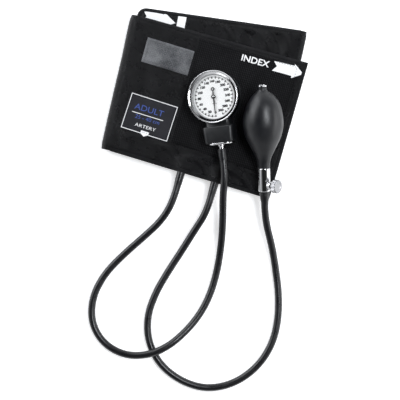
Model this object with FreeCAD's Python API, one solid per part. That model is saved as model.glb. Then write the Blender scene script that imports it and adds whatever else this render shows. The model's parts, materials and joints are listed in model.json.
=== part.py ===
import FreeCAD, Part
import math
import os

# An aneroid blood pressure monitor, laid out on a table: the folded arm cuff lies flat, the gauge
# and the squeeze bulb lie on the cuff, and two hoses loop out in front of it.
# Millimetres. The origin is the middle of the cuff's underside, +X runs along the folded cuff,
# +Y runs across it, away from the hoses, and +Z is up from the table.

# --- driving dimensions -------------------------------------------------------------------------

# Cuff: one nylon strip, folded in three layers. It runs from the free edge of the top layer,
# round the left fold to the bottom layer, and round the right fold to the middle layer.
layer_thick = 4.6
layer_gap = 0.8
left_fold_back = (-89.3, 72.2)        # ends of the left fold's axis
left_fold_front = (-82.0, -70.4)
right_fold_back = (78.4, 104.0)       # ends of the right fold's axis
right_fold_front = (86.7, -42.5)
top_layer_end_back = (94.0, 72.4)     # corners of the top layer's free edge
top_layer_end_front = (93.2, -73.8)
tail_corner_back = (-91.2, 81.6)      # corners of the middle layer's free end
tail_corner_front = (-73.5, -60.0)
tail_corner_radius = 9.0

bladder_thick = 2.0
bladder_half_width = 60.0
bladder_right_end = 66.0              # where the bladder ends in the top layer
bladder_bottom_end = -20.0            # where it ends in the bottom layer
pocket_clearance = 0.15
port_radius = 2.0
port_bore_radius = 1.2
port_places = {"gauge": -2.0, "bulb": 34.6}
port_tip = -80.0

loop_thick = 0.8
hook_thick = 0.6
label_thick = 0.4
patch_thick = 0.7
binding_width = 3.6
binding_thick = 0.3

# Gauge: a round case on a square-ish drum that holds the pressure capsule. In the gauge's own
# frame the dial's face is at z = 0, +Z leaves the dial and +Y points to twelve o'clock.
gauge_centre = FreeCAD.Vector(9.9, 10.3, 39.0)
gauge_turn = 22.0                     # degrees, turn about the vertical
gauge_tilt = 19.5                     # degrees, its right side is raised by the clip behind it
case_radius = 26.0
case_wall = 1.2
case_depth = 16.0
case_round = 4.5
case_rim = -0.5
bezel_radius = 27.0
bezel_window_radius = 22.7
bezel_low = -2.5
bezel_high = 5.4
lens_radius = 25.2
lens_low = 2.4
lens_high = 3.1
dial_radius = 24.6
dial_thick = 0.6
dial_hole_radius = 1.6

drum_axis_depth = -8.0                # z of the drum's own axis, behind the dial
drum_width_top = 31.0
drum_width_bottom = 28.4
drum_depth_top = 19.4
drum_depth_bottom = 17.8
drum_corner = 3.6
drum_bottom = -46.9
drum_wall = 1.3
base_thick = 2.3
barb_collar_end = -53.2
barb_tip = -63.0

# Movement: a ten tooth pinion under the pointer, turned by an eighty tooth sector.
gear_module = 0.4
pinion_teeth = 10
sector_teeth = 80
pointer_sweep = 337.5                 # degrees, from 0 to 300 mmHg
tooth_slack = 0.12                    # taken off each flank
rear_plate_low = -14.8
plate_thick = 1.0
front_plate_low = -4.6
arbor_radius = 0.6
sector_arbor_radius = 0.8
running_clearance = 0.05
lever_offset = 4.5                    # from the sector's arbor to the push rod
lever_half_thick = 0.5
rod_radius = 0.8
rod_gap = 0.25

clip_half_width = 8.0
clip_thick = 0.8
clip_reach = 21.1                     # from the dial's face to the back of the clip
clip_foot = (13.0, 19.5)
clip_tip = -12.0

# Bulb and release valve. In their own frame the origin is the middle of the bulb's widest part,
# +Z runs to the release valve, +X is to the right and +Y is upward.
bulb_centre = FreeCAD.Vector(65.2, -1.9, 38.55)
bulb_heading = -72.4                  # degrees, direction of the bulb's axis in plan
bulb_dip = 12.5                       # degrees, how far its valve end points down
bulb_wall = 2.5
bulb_outline = [(4.6, -34.0), (9.3, -29.9), (14.8, -23.3), (19.0, -13.5), (20.9, 0.0), (17.8, 15.5),
                (12.0, 27.5), (7.6, 36.5), (6.5, 43.0)]
bulb_collar_end = -37.5
bulb_neck_end = 46.5
bulb_neck_radius = 6.4
bulb_collar_radius = 4.5
collar_bore_radius = 3.25

valve_radius = 6.4
valve_end = 70.7
valve_barb_end = 82.0
passage_radius = 1.2
chamber_radius = 3.0
chamber = (48.0, 60.0)
spigot_start = 34.0
screw_place = 64.4                    # where the release screw crosses the valve body
screw_rise = 40.0                     # degrees, how far its axis leans up from the right
screw_radius = 2.0
screw_pitch = 0.75
screw_turns = 2                       # from closed to fully open
knob_radius = 7.0
knob_span = (12.0, 18.0)
knob_bore_end = 16.4
knob_grooves = 28

# Hoses: their centre lines run through the route points as straight runs and tangent arcs.
hose_diameter = 7.5
arc_share = 0.45
sleeve_length = 14.0
port_run = 17.0                       # straight run of hose beyond a sleeve, before its first bend
gauge_run = 14.5
valve_run = 16.0
port_height = 2.5 * layer_thick + 2.0 * layer_gap      # middle of the top layer
floor_lie = hose_diameter / 2.0
hump = 18.5                           # height where the gauge hose passes over the bulb hose

gauge_hose_route = [
    (-8.6, -127.0, 8.8), (-21.8, -148.0, 4.6), (-37.2, -171.5, floor_lie),
    (-50.6, -196.0, floor_lie), (-56.4, -223.0, floor_lie), (-50.2, -249.0, floor_lie),
    (-32.2, -266.6, 6.2), (-7.4, -272.0, 12.2), (16.2, -264.8, hump), (34.2, -250.2, hump),
    (47.4, -231.0, 12.6), (56.6, -211.0, 6.2), (61.4, -190.0, floor_lie), (62.3, -168.0, 3.9),
    (60.4, -145.0, 6.4), (56.4, -122.0, 12.6), (50.8, -100.0, 20.6), (45.6, -81.5, 27.6)]
bulb_hose_route = [
    (27.6, -127.0, 8.4), (20.8, -150.5, 4.8), (12.6, -176.0, floor_lie),
    (6.0, -201.5, floor_lie), (4.4, -227.0, floor_lie), (12.2, -251.5, floor_lie),
    (30.0, -271.5, floor_lie), (56.0, -282.6, floor_lie), (84.5, -283.5, floor_lie),
    (110.6, -270.5, floor_lie), (129.6, -247.5, floor_lie), (138.4, -220.5, floor_lie),
    (137.6, -194.0, floor_lie), (131.2, -168.5, floor_lie), (121.2, -144.5, 4.6),
    (110.4, -121.5, 9.0)]

# --- derived frames -----------------------------------------------------------------------------

z_axis = FreeCAD.Vector(0, 0, 1)
gauge_rotation = FreeCAD.Rotation(z_axis, gauge_turn).multiply(
    FreeCAD.Rotation(FreeCAD.Vector(0, 1, 0), -gauge_tilt))
gauge_frame = FreeCAD.Placement(gauge_centre, gauge_rotation)

# The bulb's own frame: its +Z is turned down to the heading and the dip.
bulb_rotation = FreeCAD.Rotation(z_axis, bulb_heading + 90.0).multiply(
    FreeCAD.Rotation(FreeCAD.Vector(1, 0, 0), 90.0 + bulb_dip))
bulb_frame = FreeCAD.Placement(bulb_centre, bulb_rotation)

# The release screw's own frame: the same place for its origin, +Z along the screw, outward.
screw_frame = bulb_frame.multiply(FreeCAD.Placement(
    FreeCAD.Vector(0, 0, screw_place),
    FreeCAD.Rotation(z_axis, screw_rise).multiply(FreeCAD.Rotation(FreeCAD.Vector(0, 1, 0), 90.0))))

# Things along the gauge's own Y, such as the drum, are turned about their own Z and then laid down.
# Their +Z points from the drum's bottom to the dial and their origin is on the gauge's centre.
drum_frame = gauge_frame.multiply(FreeCAD.Placement(
    FreeCAD.Vector(0, 0, drum_axis_depth), FreeCAD.Rotation(FreeCAD.Vector(1, 0, 0), -90.0)))


# --- helpers ------------------------------------------------------------------------------------

def save(name, shape, frame=None):
    """Write one node, moved from its own frame to the part's frame."""
    placed = shape.copy()
    if frame is not None:
        placed.transformShape(frame.toMatrix(), False)
    placed.exportStep("parts/" + name + ".step")


def prism(points, low, high):
    """A solid with the outline of the given plan points."""
    corners = [FreeCAD.Vector(x, y, low) for x, y in points]
    face = Part.Face(Part.makePolygon(corners + corners[:1]))
    return face.extrude(FreeCAD.Vector(0, 0, high - low))


def disc(radius, low, high, x=0.0, y=0.0):
    """A round bar along Z."""
    return Part.makeCylinder(radius, high - low, FreeCAD.Vector(x, y, low))


def ring(outer, inner, low, high, x=0.0, y=0.0):
    """A tube along Z."""
    return disc(outer, low, high, x, y).cut(disc(inner, low - 1.0, high + 1.0, x, y))


def turned(profile):
    """A closed outline of (radius, z) points, turned about Z."""
    corners = [FreeCAD.Vector(r, 0, z) for r, z in profile]
    face = Part.Face(Part.makePolygon(corners + corners[:1]))
    return face.revolve(FreeCAD.Vector(0, 0, 0), z_axis, 360)


def rounded(shape, radius, wanted):
    """Round the edges whose middle the wanted test accepts."""
    edges = []
    for edge in shape.Edges:
        middle = edge.valueAt((edge.FirstParameter + edge.LastParameter) / 2.0)
        if wanted(middle):
            edges.append(edge)
    return shape.makeFillet(radius, edges)


# --- cuff ---------------------------------------------------------------------------------------

bottom_low = 0.0
middle_low = layer_thick + layer_gap
top_low = 2.0 * middle_low
cuff_top = top_low + layer_thick
left_fold_height = cuff_top / 2.0
right_fold_height = (middle_low + layer_thick) / 2.0


def fold_wrap(back, front, height, outer, inner, side):
    """Half a tube round a fold's axis, on its left (side -1) or right (side 1)."""
    start = FreeCAD.Vector(front[0], front[1], height)
    along = FreeCAD.Vector(back[0], back[1], height) - start
    tube = Part.makeCylinder(outer, along.Length, start, along)
    tube = tube.cut(Part.makeCylinder(inner, along.Length, start, along))
    reach = 3.0 * outer
    past = along.normalize() * reach
    axis_ends = [(front[0] - past.x, front[1] - past.y), (back[0] + past.x, back[1] + past.y)]
    beyond = [(x + side * reach, y) for x, y in reversed(axis_ends)]
    return tube.common(prism(axis_ends + beyond, height - reach, height + reach))


def middle_outline():
    """The middle layer's plan, with its back corner rounded off in three steps."""
    corner = FreeCAD.Vector(tail_corner_back[0], tail_corner_back[1], 0)
    toward_fold = FreeCAD.Vector(right_fold_back[0], right_fold_back[1], 0) - corner
    toward_front = FreeCAD.Vector(tail_corner_front[0], tail_corner_front[1], 0) - corner
    toward_fold.normalize()
    toward_front.normalize()
    points = []
    for share_fold, share_front in ((1.0, 0.0), (0.42, 0.1), (0.1, 0.42), (0.0, 1.0)):
        place = corner + (toward_fold * share_fold + toward_front * share_front) * tail_corner_radius
        points.append((place.x, place.y))
    return points + [tail_corner_front, right_fold_front, right_fold_back]


def bladder_shape(grow):
    """The bladder's flat bag bent round the left fold, made larger by grow for its pocket."""
    half = bladder_thick / 2.0 + grow
    width = bladder_half_width + grow
    middle = layer_thick / 2.0
    lean = (left_fold_front[0] - left_fold_back[0]) / (left_fold_front[1] - left_fold_back[1])
    back = (left_fold_back[0] + lean * (width - left_fold_back[1]), width)
    front = (left_fold_back[0] + lean * (-width - left_fold_back[1]), -width)
    top = prism([back, front, (bladder_right_end + grow, -width), (bladder_right_end + grow, width)],
                top_low + middle - half, top_low + middle + half)
    low = prism([back, front, (bladder_bottom_end + grow, -width), (bladder_bottom_end + grow, width)],
                bottom_low + middle - half, bottom_low + middle + half)
    bend = left_fold_height - middle
    wrap = fold_wrap(back, front, left_fold_height, bend + half, bend - half, -1)
    return top.fuse([low, wrap]).removeSplitter()


def port_rods(radius, start, end):
    """Bars along Y where the bladder's two ports run."""
    rods = []
    for place in port_places.values():
        rods.append(Part.makeCylinder(radius, start - end, FreeCAD.Vector(place, start, port_height),
                                      FreeCAD.Vector(0, -1, 0)))
    return Part.makeCompound(rods)


def make_cuff():
    top_outline = [left_fold_back, left_fold_front, top_layer_end_front, top_layer_end_back]
    bottom_outline = [left_fold_back, left_fold_front, right_fold_front, right_fold_back]
    top = prism(top_outline, top_low, cuff_top)
    bottom = prism(bottom_outline, bottom_low, layer_thick)
    middle = prism(middle_outline(), middle_low, middle_low + layer_thick)
    left = fold_wrap(left_fold_back, left_fold_front, left_fold_height,
                     left_fold_height, left_fold_height - layer_thick, -1)
    right = fold_wrap(right_fold_back, right_fold_front, right_fold_height,
                      right_fold_height, layer_gap / 2.0, 1)
    cover = top.fuse([left, bottom, right, middle]).removeSplitter()
    cover = cover.cut(bladder_shape(pocket_clearance))
    cover = cover.cut(port_rods(port_radius + pocket_clearance, -bladder_half_width, -90.0))
    save("cuff_cover", cover)

    bladder = bladder_shape(0.0).fuse(port_rods(port_radius, -bladder_half_width + 1.0, port_tip))
    bladder = bladder.cut(port_rods(port_bore_radius, -bladder_half_width, port_tip - 1.0))
    save("bladder", bladder.removeSplitter())

    # sewn on the top layer: loop pile, label, patch
    loop_outline = [(-21.6, 67.6), (-21.6, -45.2), (-9.0, -50.8), (86.4, -52.0), (86.6, 67.6)]
    save("loop_panel", prism(loop_outline, cuff_top, cuff_top + loop_thick))
    label_outline = [(-74.0, -5.6), (-75.6, -44.6), (-24.2, -46.4), (-22.6, -7.4)]
    save("size_label", prism(label_outline, cuff_top, cuff_top + label_thick))
    patch_outline = [(-73.0, 53.4), (-73.2, 27.4), (-22.6, 26.2), (-22.4, 52.2)]
    save("tape_patch", prism(patch_outline, cuff_top, cuff_top + patch_thick))

    # hook tape under the middle layer, near its free end
    hook_outline = [(-76.0, 70.0), (-63.0, -50.0), (-18.0, -46.0), (-31.0, 74.0)]
    save("hook_panel", prism(hook_outline, middle_low - hook_thick, middle_low))

    # binding along the back, free and front edges of the top layer
    outer = [left_fold_back, left_fold_front, top_layer_end_front, top_layer_end_back]
    inner = [(left_fold_back[0] - 9.0, left_fold_back[1] - binding_width),
             (left_fold_front[0] - 9.0, left_fold_front[1] + binding_width),
             (top_layer_end_front[0] - binding_width, top_layer_end_front[1] + binding_width),
             (top_layer_end_back[0] - binding_width, top_layer_end_back[1] - binding_width)]
    binding = prism(outer, cuff_top, cuff_top + binding_thick)
    save("edge_binding", binding.cut(prism(inner, cuff_top - 1.0, cuff_top + 1.0)))


# --- gauge --------------------------------------------------------------------------------------

def rounded_outline(width, depth, corner, height):
    """A rectangle with round corners at one height, as a wire."""
    half_w = width / 2.0 - corner
    half_d = depth / 2.0 - corner
    diagonal = corner * math.sqrt(0.5)
    edges = []
    for sx, sy in ((1, 1), (-1, 1), (-1, -1), (1, -1)):
        flat_x = FreeCAD.Vector(sx * (half_w + corner), sy * half_d, height)
        flat_y = FreeCAD.Vector(sx * half_w, sy * (half_d + corner), height)
        middle = FreeCAD.Vector(sx * (half_w + diagonal), sy * (half_d + diagonal), height)
        first, last = (flat_x, flat_y) if sx * sy > 0 else (flat_y, flat_x)
        edges.append(Part.Arc(first, middle, last).toShape())
    corners = []
    for index, arc in enumerate(edges):
        following = edges[(index + 1) % 4]
        corners.append(arc)
        corners.append(Part.LineSegment(arc.Vertexes[-1].Point, following.Vertexes[0].Point).toShape())
    return Part.Wire(corners)


def drum_block(shrink, low, high):
    """The drum's tapered block, along Z of the drum's own frame."""
    span = high - low
    share = (low - drum_bottom) / (-case_radius - drum_bottom)
    widths = []
    for part_way in (share, share + span / (-case_radius - drum_bottom)):
        width = drum_width_bottom + (drum_width_top - drum_width_bottom) * part_way
        depth = drum_depth_bottom + (drum_depth_top - drum_depth_bottom) * part_way
        widths.append((width - 2.0 * shrink, depth - 2.0 * shrink))
    corner = drum_corner - shrink
    lower = rounded_outline(widths[0][0], widths[0][1], corner, low)
    upper = rounded_outline(widths[1][0], widths[1][1], corner, high)
    return Part.makeLoft([lower, upper], True)


def make_gauge_housing():
    # the case: a cup with a round back edge, open at the dial
    cup = disc(case_radius, -case_depth, case_rim)
    cup = rounded(cup, case_round, lambda p: p.z < -case_depth + 0.1)
    hollow = disc(case_radius - case_wall, -case_depth + case_wall, case_rim + 1.0)
    hollow = rounded(hollow, case_round - case_wall, lambda p: p.z < -case_depth + case_wall + 0.1)
    rod_hole = Part.makeCylinder(rod_radius + running_clearance, 10.0,
                                 FreeCAD.Vector(0, -20.0, drum_axis_depth), FreeCAD.Vector(0, -1, 0))
    case = cup.cut(hollow).cut(rod_hole)
    for x, y in rivet_places + screw_places:
        case = case.cut(disc(1.2, -case_depth - 1.0, -case_depth + case_wall + 1.0, x, y))
    save("gauge_case", case, gauge_frame)

    bezel = turned([
        (case_radius + 0.05, bezel_low), (bezel_radius, bezel_low), (bezel_radius, bezel_high - 2.0),
        (bezel_radius - 0.3, bezel_high - 0.7), (bezel_radius - 0.9, bezel_high),
        (bezel_radius - 1.5, bezel_high - 0.2), (bezel_window_radius, lens_high + 0.3),
        (bezel_window_radius, lens_high + 0.05), (lens_radius + 0.1, lens_high + 0.05),
        (lens_radius + 0.1, case_rim + 0.05), (case_radius + 0.05, case_rim + 0.05)])
    save("bezel", bezel, gauge_frame)
    save("lens", rounded(disc(lens_radius, lens_low, lens_high), 0.3, lambda p: p.z > lens_high - 0.1),
         gauge_frame)
    save("lens_gasket", ring(lens_radius - 0.1, bezel_window_radius + 0.5, 1.4, lens_low), gauge_frame)
    save("spacer_ring", turned([(dial_radius, 0.02), (dial_radius, 1.4), (bezel_window_radius, 1.4),
                                (bezel_window_radius - 0.7, 0.02)]), gauge_frame)
    save("dial", ring(dial_radius, dial_hole_radius, -dial_thick, 0.0), gauge_frame)


def make_drum():
    top = -case_radius + 4.0
    block = drum_block(0.0, drum_bottom, top)
    cavity = drum_block(drum_wall, drum_bottom - 0.1, top + 0.1)
    case_block = Part.makeCylinder(case_radius + 0.02, 60.0, FreeCAD.Vector(0, -30.0, 0),
                                   FreeCAD.Vector(0, 1, 0))
    bezel_block = Part.makeCylinder(bezel_radius + 0.05, 30.05 + drum_axis_depth - bezel_low,
                                    FreeCAD.Vector(0, -30.0, 0), FreeCAD.Vector(0, 1, 0))
    save("drum_housing", block.cut(cavity).cut(case_block).cut(bezel_block), drum_frame)

    # the chrome base closes the drum and carries the hose barb
    base = Part.makeLoft([rounded_outline(24.6, 16.6, 8.0, drum_bottom - base_thick),
                          rounded_outline(25.4, 17.2, 8.2, drum_bottom)], True)
    save("drum_base", base.cut(disc(2.0, drum_bottom - 5.0, drum_bottom + 5.0)), drum_frame)
    barb = turned([(0.9, barb_tip), (2.1, barb_tip), (2.6, barb_tip + 2.0), (2.2, barb_tip + 2.2),
                   (2.6, barb_tip + 5.0), (2.2, barb_tip + 5.2), (2.2, barb_collar_end),
                   (2.75, barb_collar_end), (2.75, drum_bottom - base_thick - 1.2),
                   (4.0, drum_bottom - base_thick - 1.0), (4.0, drum_bottom - base_thick),
                   (1.95, drum_bottom - base_thick), (1.95, drum_bottom + 0.4), (0.9, drum_bottom + 0.4)])
    save("gauge_barb", barb, drum_frame)

    # the pressure capsule: a stack of corrugations on a short stem
    stem_top = drum_bottom + 3.4
    save("capsule_stem", turned([(0.9, drum_bottom + 0.45), (3.6, drum_bottom + 0.45),
                                 (3.6, drum_bottom + 1.6), (2.0, drum_bottom + 2.0), (2.0, stem_top),
                                 (0.9, stem_top)]), drum_frame)
    outer = []
    inner = []
    folds = 5
    step = (capsule_top - stem_top) / folds
    for index in range(folds):
        base_height = stem_top + index * step
        outer += [(4.2, base_height), (6.9, base_height + 0.5 * step)]
        inner += [(3.9, base_height + 0.12), (6.5, base_height + 0.5 * step)]
    outer.append((4.2, capsule_top))
    inner.append((3.9, capsule_top - 0.12))
    walls = turned([(0.0, stem_top)] + outer + [(0.0, capsule_top)])
    void = turned([(0.0, stem_top + 0.25)] + inner[1:-1] + [(0.0, capsule_top - 0.3)])
    save("capsule", walls.cut(void), drum_frame)


def gear_tooth(pitch_radius, outward, angle, low, high):
    """One tooth as a prism: straight flanks that follow an involute's slope at the pitch circle."""
    root = pitch_radius - 1.1 * gear_module
    tip = pitch_radius + 0.8 * gear_module
    half = math.pi * gear_module / 4.0 - tooth_slack
    slope = math.tan(math.radians(20.0))
    corners = []
    for radius, side in ((root - outward, 1), (tip, 1), (tip, -1), (root - outward, -1)):
        width = max(half - slope * (radius - pitch_radius), 0.05) if radius > root else half + slope * 0.3
        bearing = angle + side * width / radius
        corners.append((radius * math.cos(bearing), radius * math.sin(bearing)))
    return prism(corners, low, high)


def make_movement():
    pinion_radius = gear_module * pinion_teeth / 2.0
    sector_radius = gear_module * sector_teeth / 2.0
    toward_pinion = math.atan2(-sector_centre[1], -sector_centre[0])

    # plates, pillars and screws
    plan = disc(21.5, 0.0, plate_thick).common(
        prism([(-13.5, -21.0), (14.5, -21.0), (14.5, 12.5), (-13.5, 12.5)], -1.0, 2.0))
    for name, low in (("movement_rear_plate", rear_plate_low), ("movement_front_plate", front_plate_low)):
        plate = plan.translated(FreeCAD.Vector(0, 0, low))
        plate = plate.cut(disc(arbor_radius + running_clearance, low - 1.0, low + 2.0))
        plate = plate.cut(disc(sector_arbor_radius + running_clearance, low - 1.0, low + 2.0,
                               sector_centre[0], sector_centre[1]))
        for x, y in pillar_places:
            plate = plate.cut(disc(0.8, low - 1.0, low + 2.0, x, y))
        if name == "movement_rear_plate":
            for x, y in screw_places:
                plate = plate.cut(disc(0.9, low - 1.0, low + 2.0, x, y))
        save(name, plate, gauge_frame)
    pillars = []
    for x, y in pillar_places:
        post = disc(1.4, rear_plate_low + plate_thick, front_plate_low, x, y)
        post = post.fuse(disc(0.78, rear_plate_low + 0.05, front_plate_low + plate_thick + 0.2, x, y))
        pillars.append(post.removeSplitter())
    save("movement_pillars", Part.makeCompound(pillars), gauge_frame)
    screws = []
    for x, y in screw_places:
        screw = disc(0.88, -case_depth + 0.2, rear_plate_low + plate_thick, x, y)
        head = disc(1.9, -case_depth - 0.9, -case_depth, x, y)
        slot = Part.makeBox(4.2, 0.5, 0.4, FreeCAD.Vector(x - 2.1, y - 0.25, -case_depth - 0.9))
        neck = disc(0.88, -case_depth, -case_depth + 0.2, x, y)
        screws.append(screw.fuse([head.cut(slot), neck]).removeSplitter())
    save("movement_screws", Part.makeCompound(screws), gauge_frame)

    # pinion and its arbor, which carries the pointer and the hairspring's inner end
    root = pinion_radius - 1.1 * gear_module
    arbor = disc(arbor_radius, rear_plate_low + 0.3, 2.0).fuse(disc(root, -6.8, -5.3))
    arbor = arbor.fuse(disc(1.5, -11.0, -9.6))
    for index in range(pinion_teeth):
        # a gap, not a tooth, faces the sector at rest
        bearing = toward_pinion + math.pi + (index + 0.5) * 2.0 * math.pi / pinion_teeth
        arbor = arbor.fuse(gear_tooth(pinion_radius, 0.3, bearing, -6.8, -5.3))
    save("pinion_arbor", arbor.removeSplitter(), gauge_frame)

    # sector: a toothed rim on a spoked web, and its arbor with the lever that the push rod lifts
    pitch = 2.0 * math.pi / sector_teeth
    swing = math.radians(pointer_sweep) * pinion_teeth / sector_teeth
    teeth_before = int(swing / pitch) + 2
    first = toward_pinion - (teeth_before + 0.5) * pitch
    last = toward_pinion + 2.5 * pitch
    rim_root = sector_radius - 1.1 * gear_module
    wedge = [(0.0, 0.0)]
    for step in range(9):
        bearing = first + (last - first) * step / 8.0
        wedge.append((30.0 * math.cos(bearing), 30.0 * math.sin(bearing)))
    rim = ring(rim_root, rim_root - 2.2, -6.55, -5.55).common(prism(wedge, -8.0, -4.0))
    middle = (first + last) / 2.0
    spokes = [disc(2.6, -6.55, -5.55)]
    for bearing in (first + 0.10, middle, last - 0.10):
        across = (-0.8 * math.sin(bearing), 0.8 * math.cos(bearing))
        far = (rim_root - 1.0) * math.cos(bearing), (rim_root - 1.0) * math.sin(bearing)
        spokes.append(prism([(across[0], across[1]), (-across[0], -across[1]),
                             (far[0] - across[0], far[1] - across[1]),
                             (far[0] + across[0], far[1] + across[1])], -6.55, -5.55))
    for index in range(-teeth_before, 3):
        spokes.append(gear_tooth(sector_radius, 0.3, toward_pinion + index * pitch, -6.55, -5.55))
    sector = rim.fuse(spokes).removeSplitter().cut(disc(sector_arbor_radius, -9.0, -3.0))
    sector = sector.translated(FreeCAD.Vector(sector_centre[0], sector_centre[1], 0))
    save("sector_gear", sector, gauge_frame)

    lever = prism([(0.0, lever_half_thick), (0.0, -lever_half_thick), (6.4, -lever_half_thick),
                   (6.4, lever_half_thick)], -8.8, -7.2)
    lever.rotate(FreeCAD.Vector(0, 0, 0), z_axis, -math.degrees(swing) / 2.0)
    shaft = disc(sector_arbor_radius, rear_plate_low + 0.3, front_plate_low + 0.8)
    shaft = shaft.fuse([disc(1.6, -8.8, -7.2), lever]).removeSplitter()
    shaft = shaft.translated(FreeCAD.Vector(sector_centre[0], sector_centre[1], 0))
    save("sector_arbor", shaft, gauge_frame)

    # push rod: round, with a domed tip a little under the lever
    low_slope = math.radians(math.degrees(swing) / 2.0)
    under = sector_centre[1] - lever_offset * math.tan(low_slope)
    under -= (lever_half_thick + rod_radius) / math.cos(low_slope) - rod_radius
    tip = under - rod_gap
    rod = disc(rod_radius, capsule_top + 0.6, tip - rod_radius)
    rod = rod.fuse(Part.makeSphere(rod_radius, FreeCAD.Vector(0, 0, tip - rod_radius)))
    rod = rod.fuse(disc(2.2, capsule_top + 0.2, capsule_top + 0.8))
    save("push_rod", rod.removeSplitter(), drum_frame)

    # hairspring: half circles of growing radius round the arbor
    save("hairspring", spiral_strip(1.8, 0.62, 12, 0.12, -10.6, -10.0), gauge_frame)

    # pointer: a tapered needle, a boss on the arbor and a ring as counterweight
    blade = prism([(-0.75, 0.0), (-0.26, -17.2), (0.0, -17.9), (0.26, -17.2), (0.75, 0.0), (0.45, 6.6),
                   (-0.45, 6.6)], 1.0, 1.4)
    pointer = blade.fuse([disc(2.1, 0.6, 2.1), ring(1.9, 1.0, 1.0, 1.4, 0.0, 7.9)]).removeSplitter()
    save("pointer", pointer.cut(disc(arbor_radius, 0.0, 3.0)), gauge_frame)


def spiral_strip(start, growth, halves, thick, low, high):
    """A flat spiral spring of half circles, as one strip."""
    rims = []
    for offset in (-thick / 2.0, thick / 2.0):
        arcs = []
        radius = start
        centre = 0.0
        side = 1.0
        for _ in range(halves):
            first = FreeCAD.Vector(centre + side * (radius + offset), 0, low)
            middle = FreeCAD.Vector(centre, side * (radius + offset), low)
            last = FreeCAD.Vector(centre - side * (radius + offset), 0, low)
            arcs.append(Part.Arc(first, middle, last).toShape())
            centre += side * growth / 2.0
            radius += growth / 2.0
            side = -side
        rims.append(arcs)
    inside, outside = rims
    start_cap = Part.LineSegment(inside[0].Vertexes[0].Point, outside[0].Vertexes[0].Point).toShape()
    end_cap = Part.LineSegment(inside[-1].Vertexes[-1].Point, outside[-1].Vertexes[-1].Point).toShape()
    outline = Part.Wire(Part.__sortEdges__([start_cap, end_cap] + inside + outside))
    return Part.Face(outline).extrude(FreeCAD.Vector(0, 0, high - low))


def make_clip():
    """The sprung hook on the back of the case, drawn in its side view and pushed out to its width."""
    near = -case_depth
    far = -clip_reach
    bend = (near - far) / 2.0
    centre = FreeCAD.Vector(0, clip_foot[1], near - bend)

    def point(y, z):
        return FreeCAD.Vector(0, y, z)

    def arc(radius):
        return Part.Arc(point(centre.y, centre.z + radius), point(centre.y + radius, centre.z),
                        point(centre.y, centre.z - radius)).toShape()

    lip = 4.2
    outline = [
        Part.LineSegment(point(clip_foot[0], near), point(clip_foot[1], near)).toShape(),
        arc(bend),
        Part.LineSegment(point(clip_foot[1], far), point(clip_tip, far)).toShape(),
        Part.LineSegment(point(clip_tip, far), point(clip_tip - lip, far + 0.45 * lip)).toShape(),
        Part.LineSegment(point(clip_tip - lip, far + 0.45 * lip),
                         point(clip_tip - lip, far + 0.45 * lip + clip_thick)).toShape(),
        Part.LineSegment(point(clip_tip - lip, far + 0.45 * lip + clip_thick),
                         point(clip_tip, far + clip_thick)).toShape(),
        Part.LineSegment(point(clip_tip, far + clip_thick), point(clip_foot[1], far + clip_thick)).toShape(),
        arc(bend - clip_thick),
        Part.LineSegment(point(clip_foot[1], near - clip_thick),
                         point(clip_foot[0], near - clip_thick)).toShape(),
        Part.LineSegment(point(clip_foot[0], near - clip_thick), point(clip_foot[0], near)).toShape()]
    side = Part.Face(Part.Wire(Part.__sortEdges__(outline)))
    side.translate(FreeCAD.Vector(-clip_half_width, 0, 0))
    strip = side.extrude(FreeCAD.Vector(2.0 * clip_half_width, 0, 0))
    rivets = []
    for x, y in rivet_places:
        strip = strip.cut(disc(1.2, near - 2.0, near + 1.0, x, y))
        rivet = disc(1.18, near - clip_thick - 0.2, near + case_wall + 0.2, x, y)
        outer_head = disc(2.0, near - clip_thick - 0.9, near - clip_thick, x, y)
        inner_head = disc(1.9, near + case_wall, near + case_wall + 0.6, x, y)
        rivets.append(rivet.fuse([outer_head, inner_head]).removeSplitter())
    save("back_clip", strip, gauge_frame)
    save("clip_rivets", Part.makeCompound(rivets), gauge_frame)


# --- bulb and release valve ---------------------------------------------------------------------

def bulb_body(shrink, low, low_radius, high, high_radius):
    """The bulb's outline as a curve between its collar and its neck, turned about Z."""
    points = [FreeCAD.Vector(r - shrink, 0, z) for r, z in bulb_outline]
    curve = Part.BSplineCurve()
    curve.interpolate(points)
    corners = [FreeCAD.Vector(0, 0, low), FreeCAD.Vector(low_radius, 0, low), points[0]]
    upper = [points[-1], FreeCAD.Vector(high_radius, 0, high), FreeCAD.Vector(0, 0, high)]
    edges = [Part.LineSegment(corners[0], corners[1]).toShape(),
             Part.LineSegment(corners[1], corners[2]).toShape(), curve.toShape(),
             Part.LineSegment(upper[0], upper[1]).toShape(),
             Part.LineSegment(upper[1], upper[2]).toShape(),
             Part.LineSegment(upper[2], corners[0]).toShape()]
    return Part.Face(Part.Wire(edges)).revolve(FreeCAD.Vector(0, 0, 0), z_axis, 360)


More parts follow.
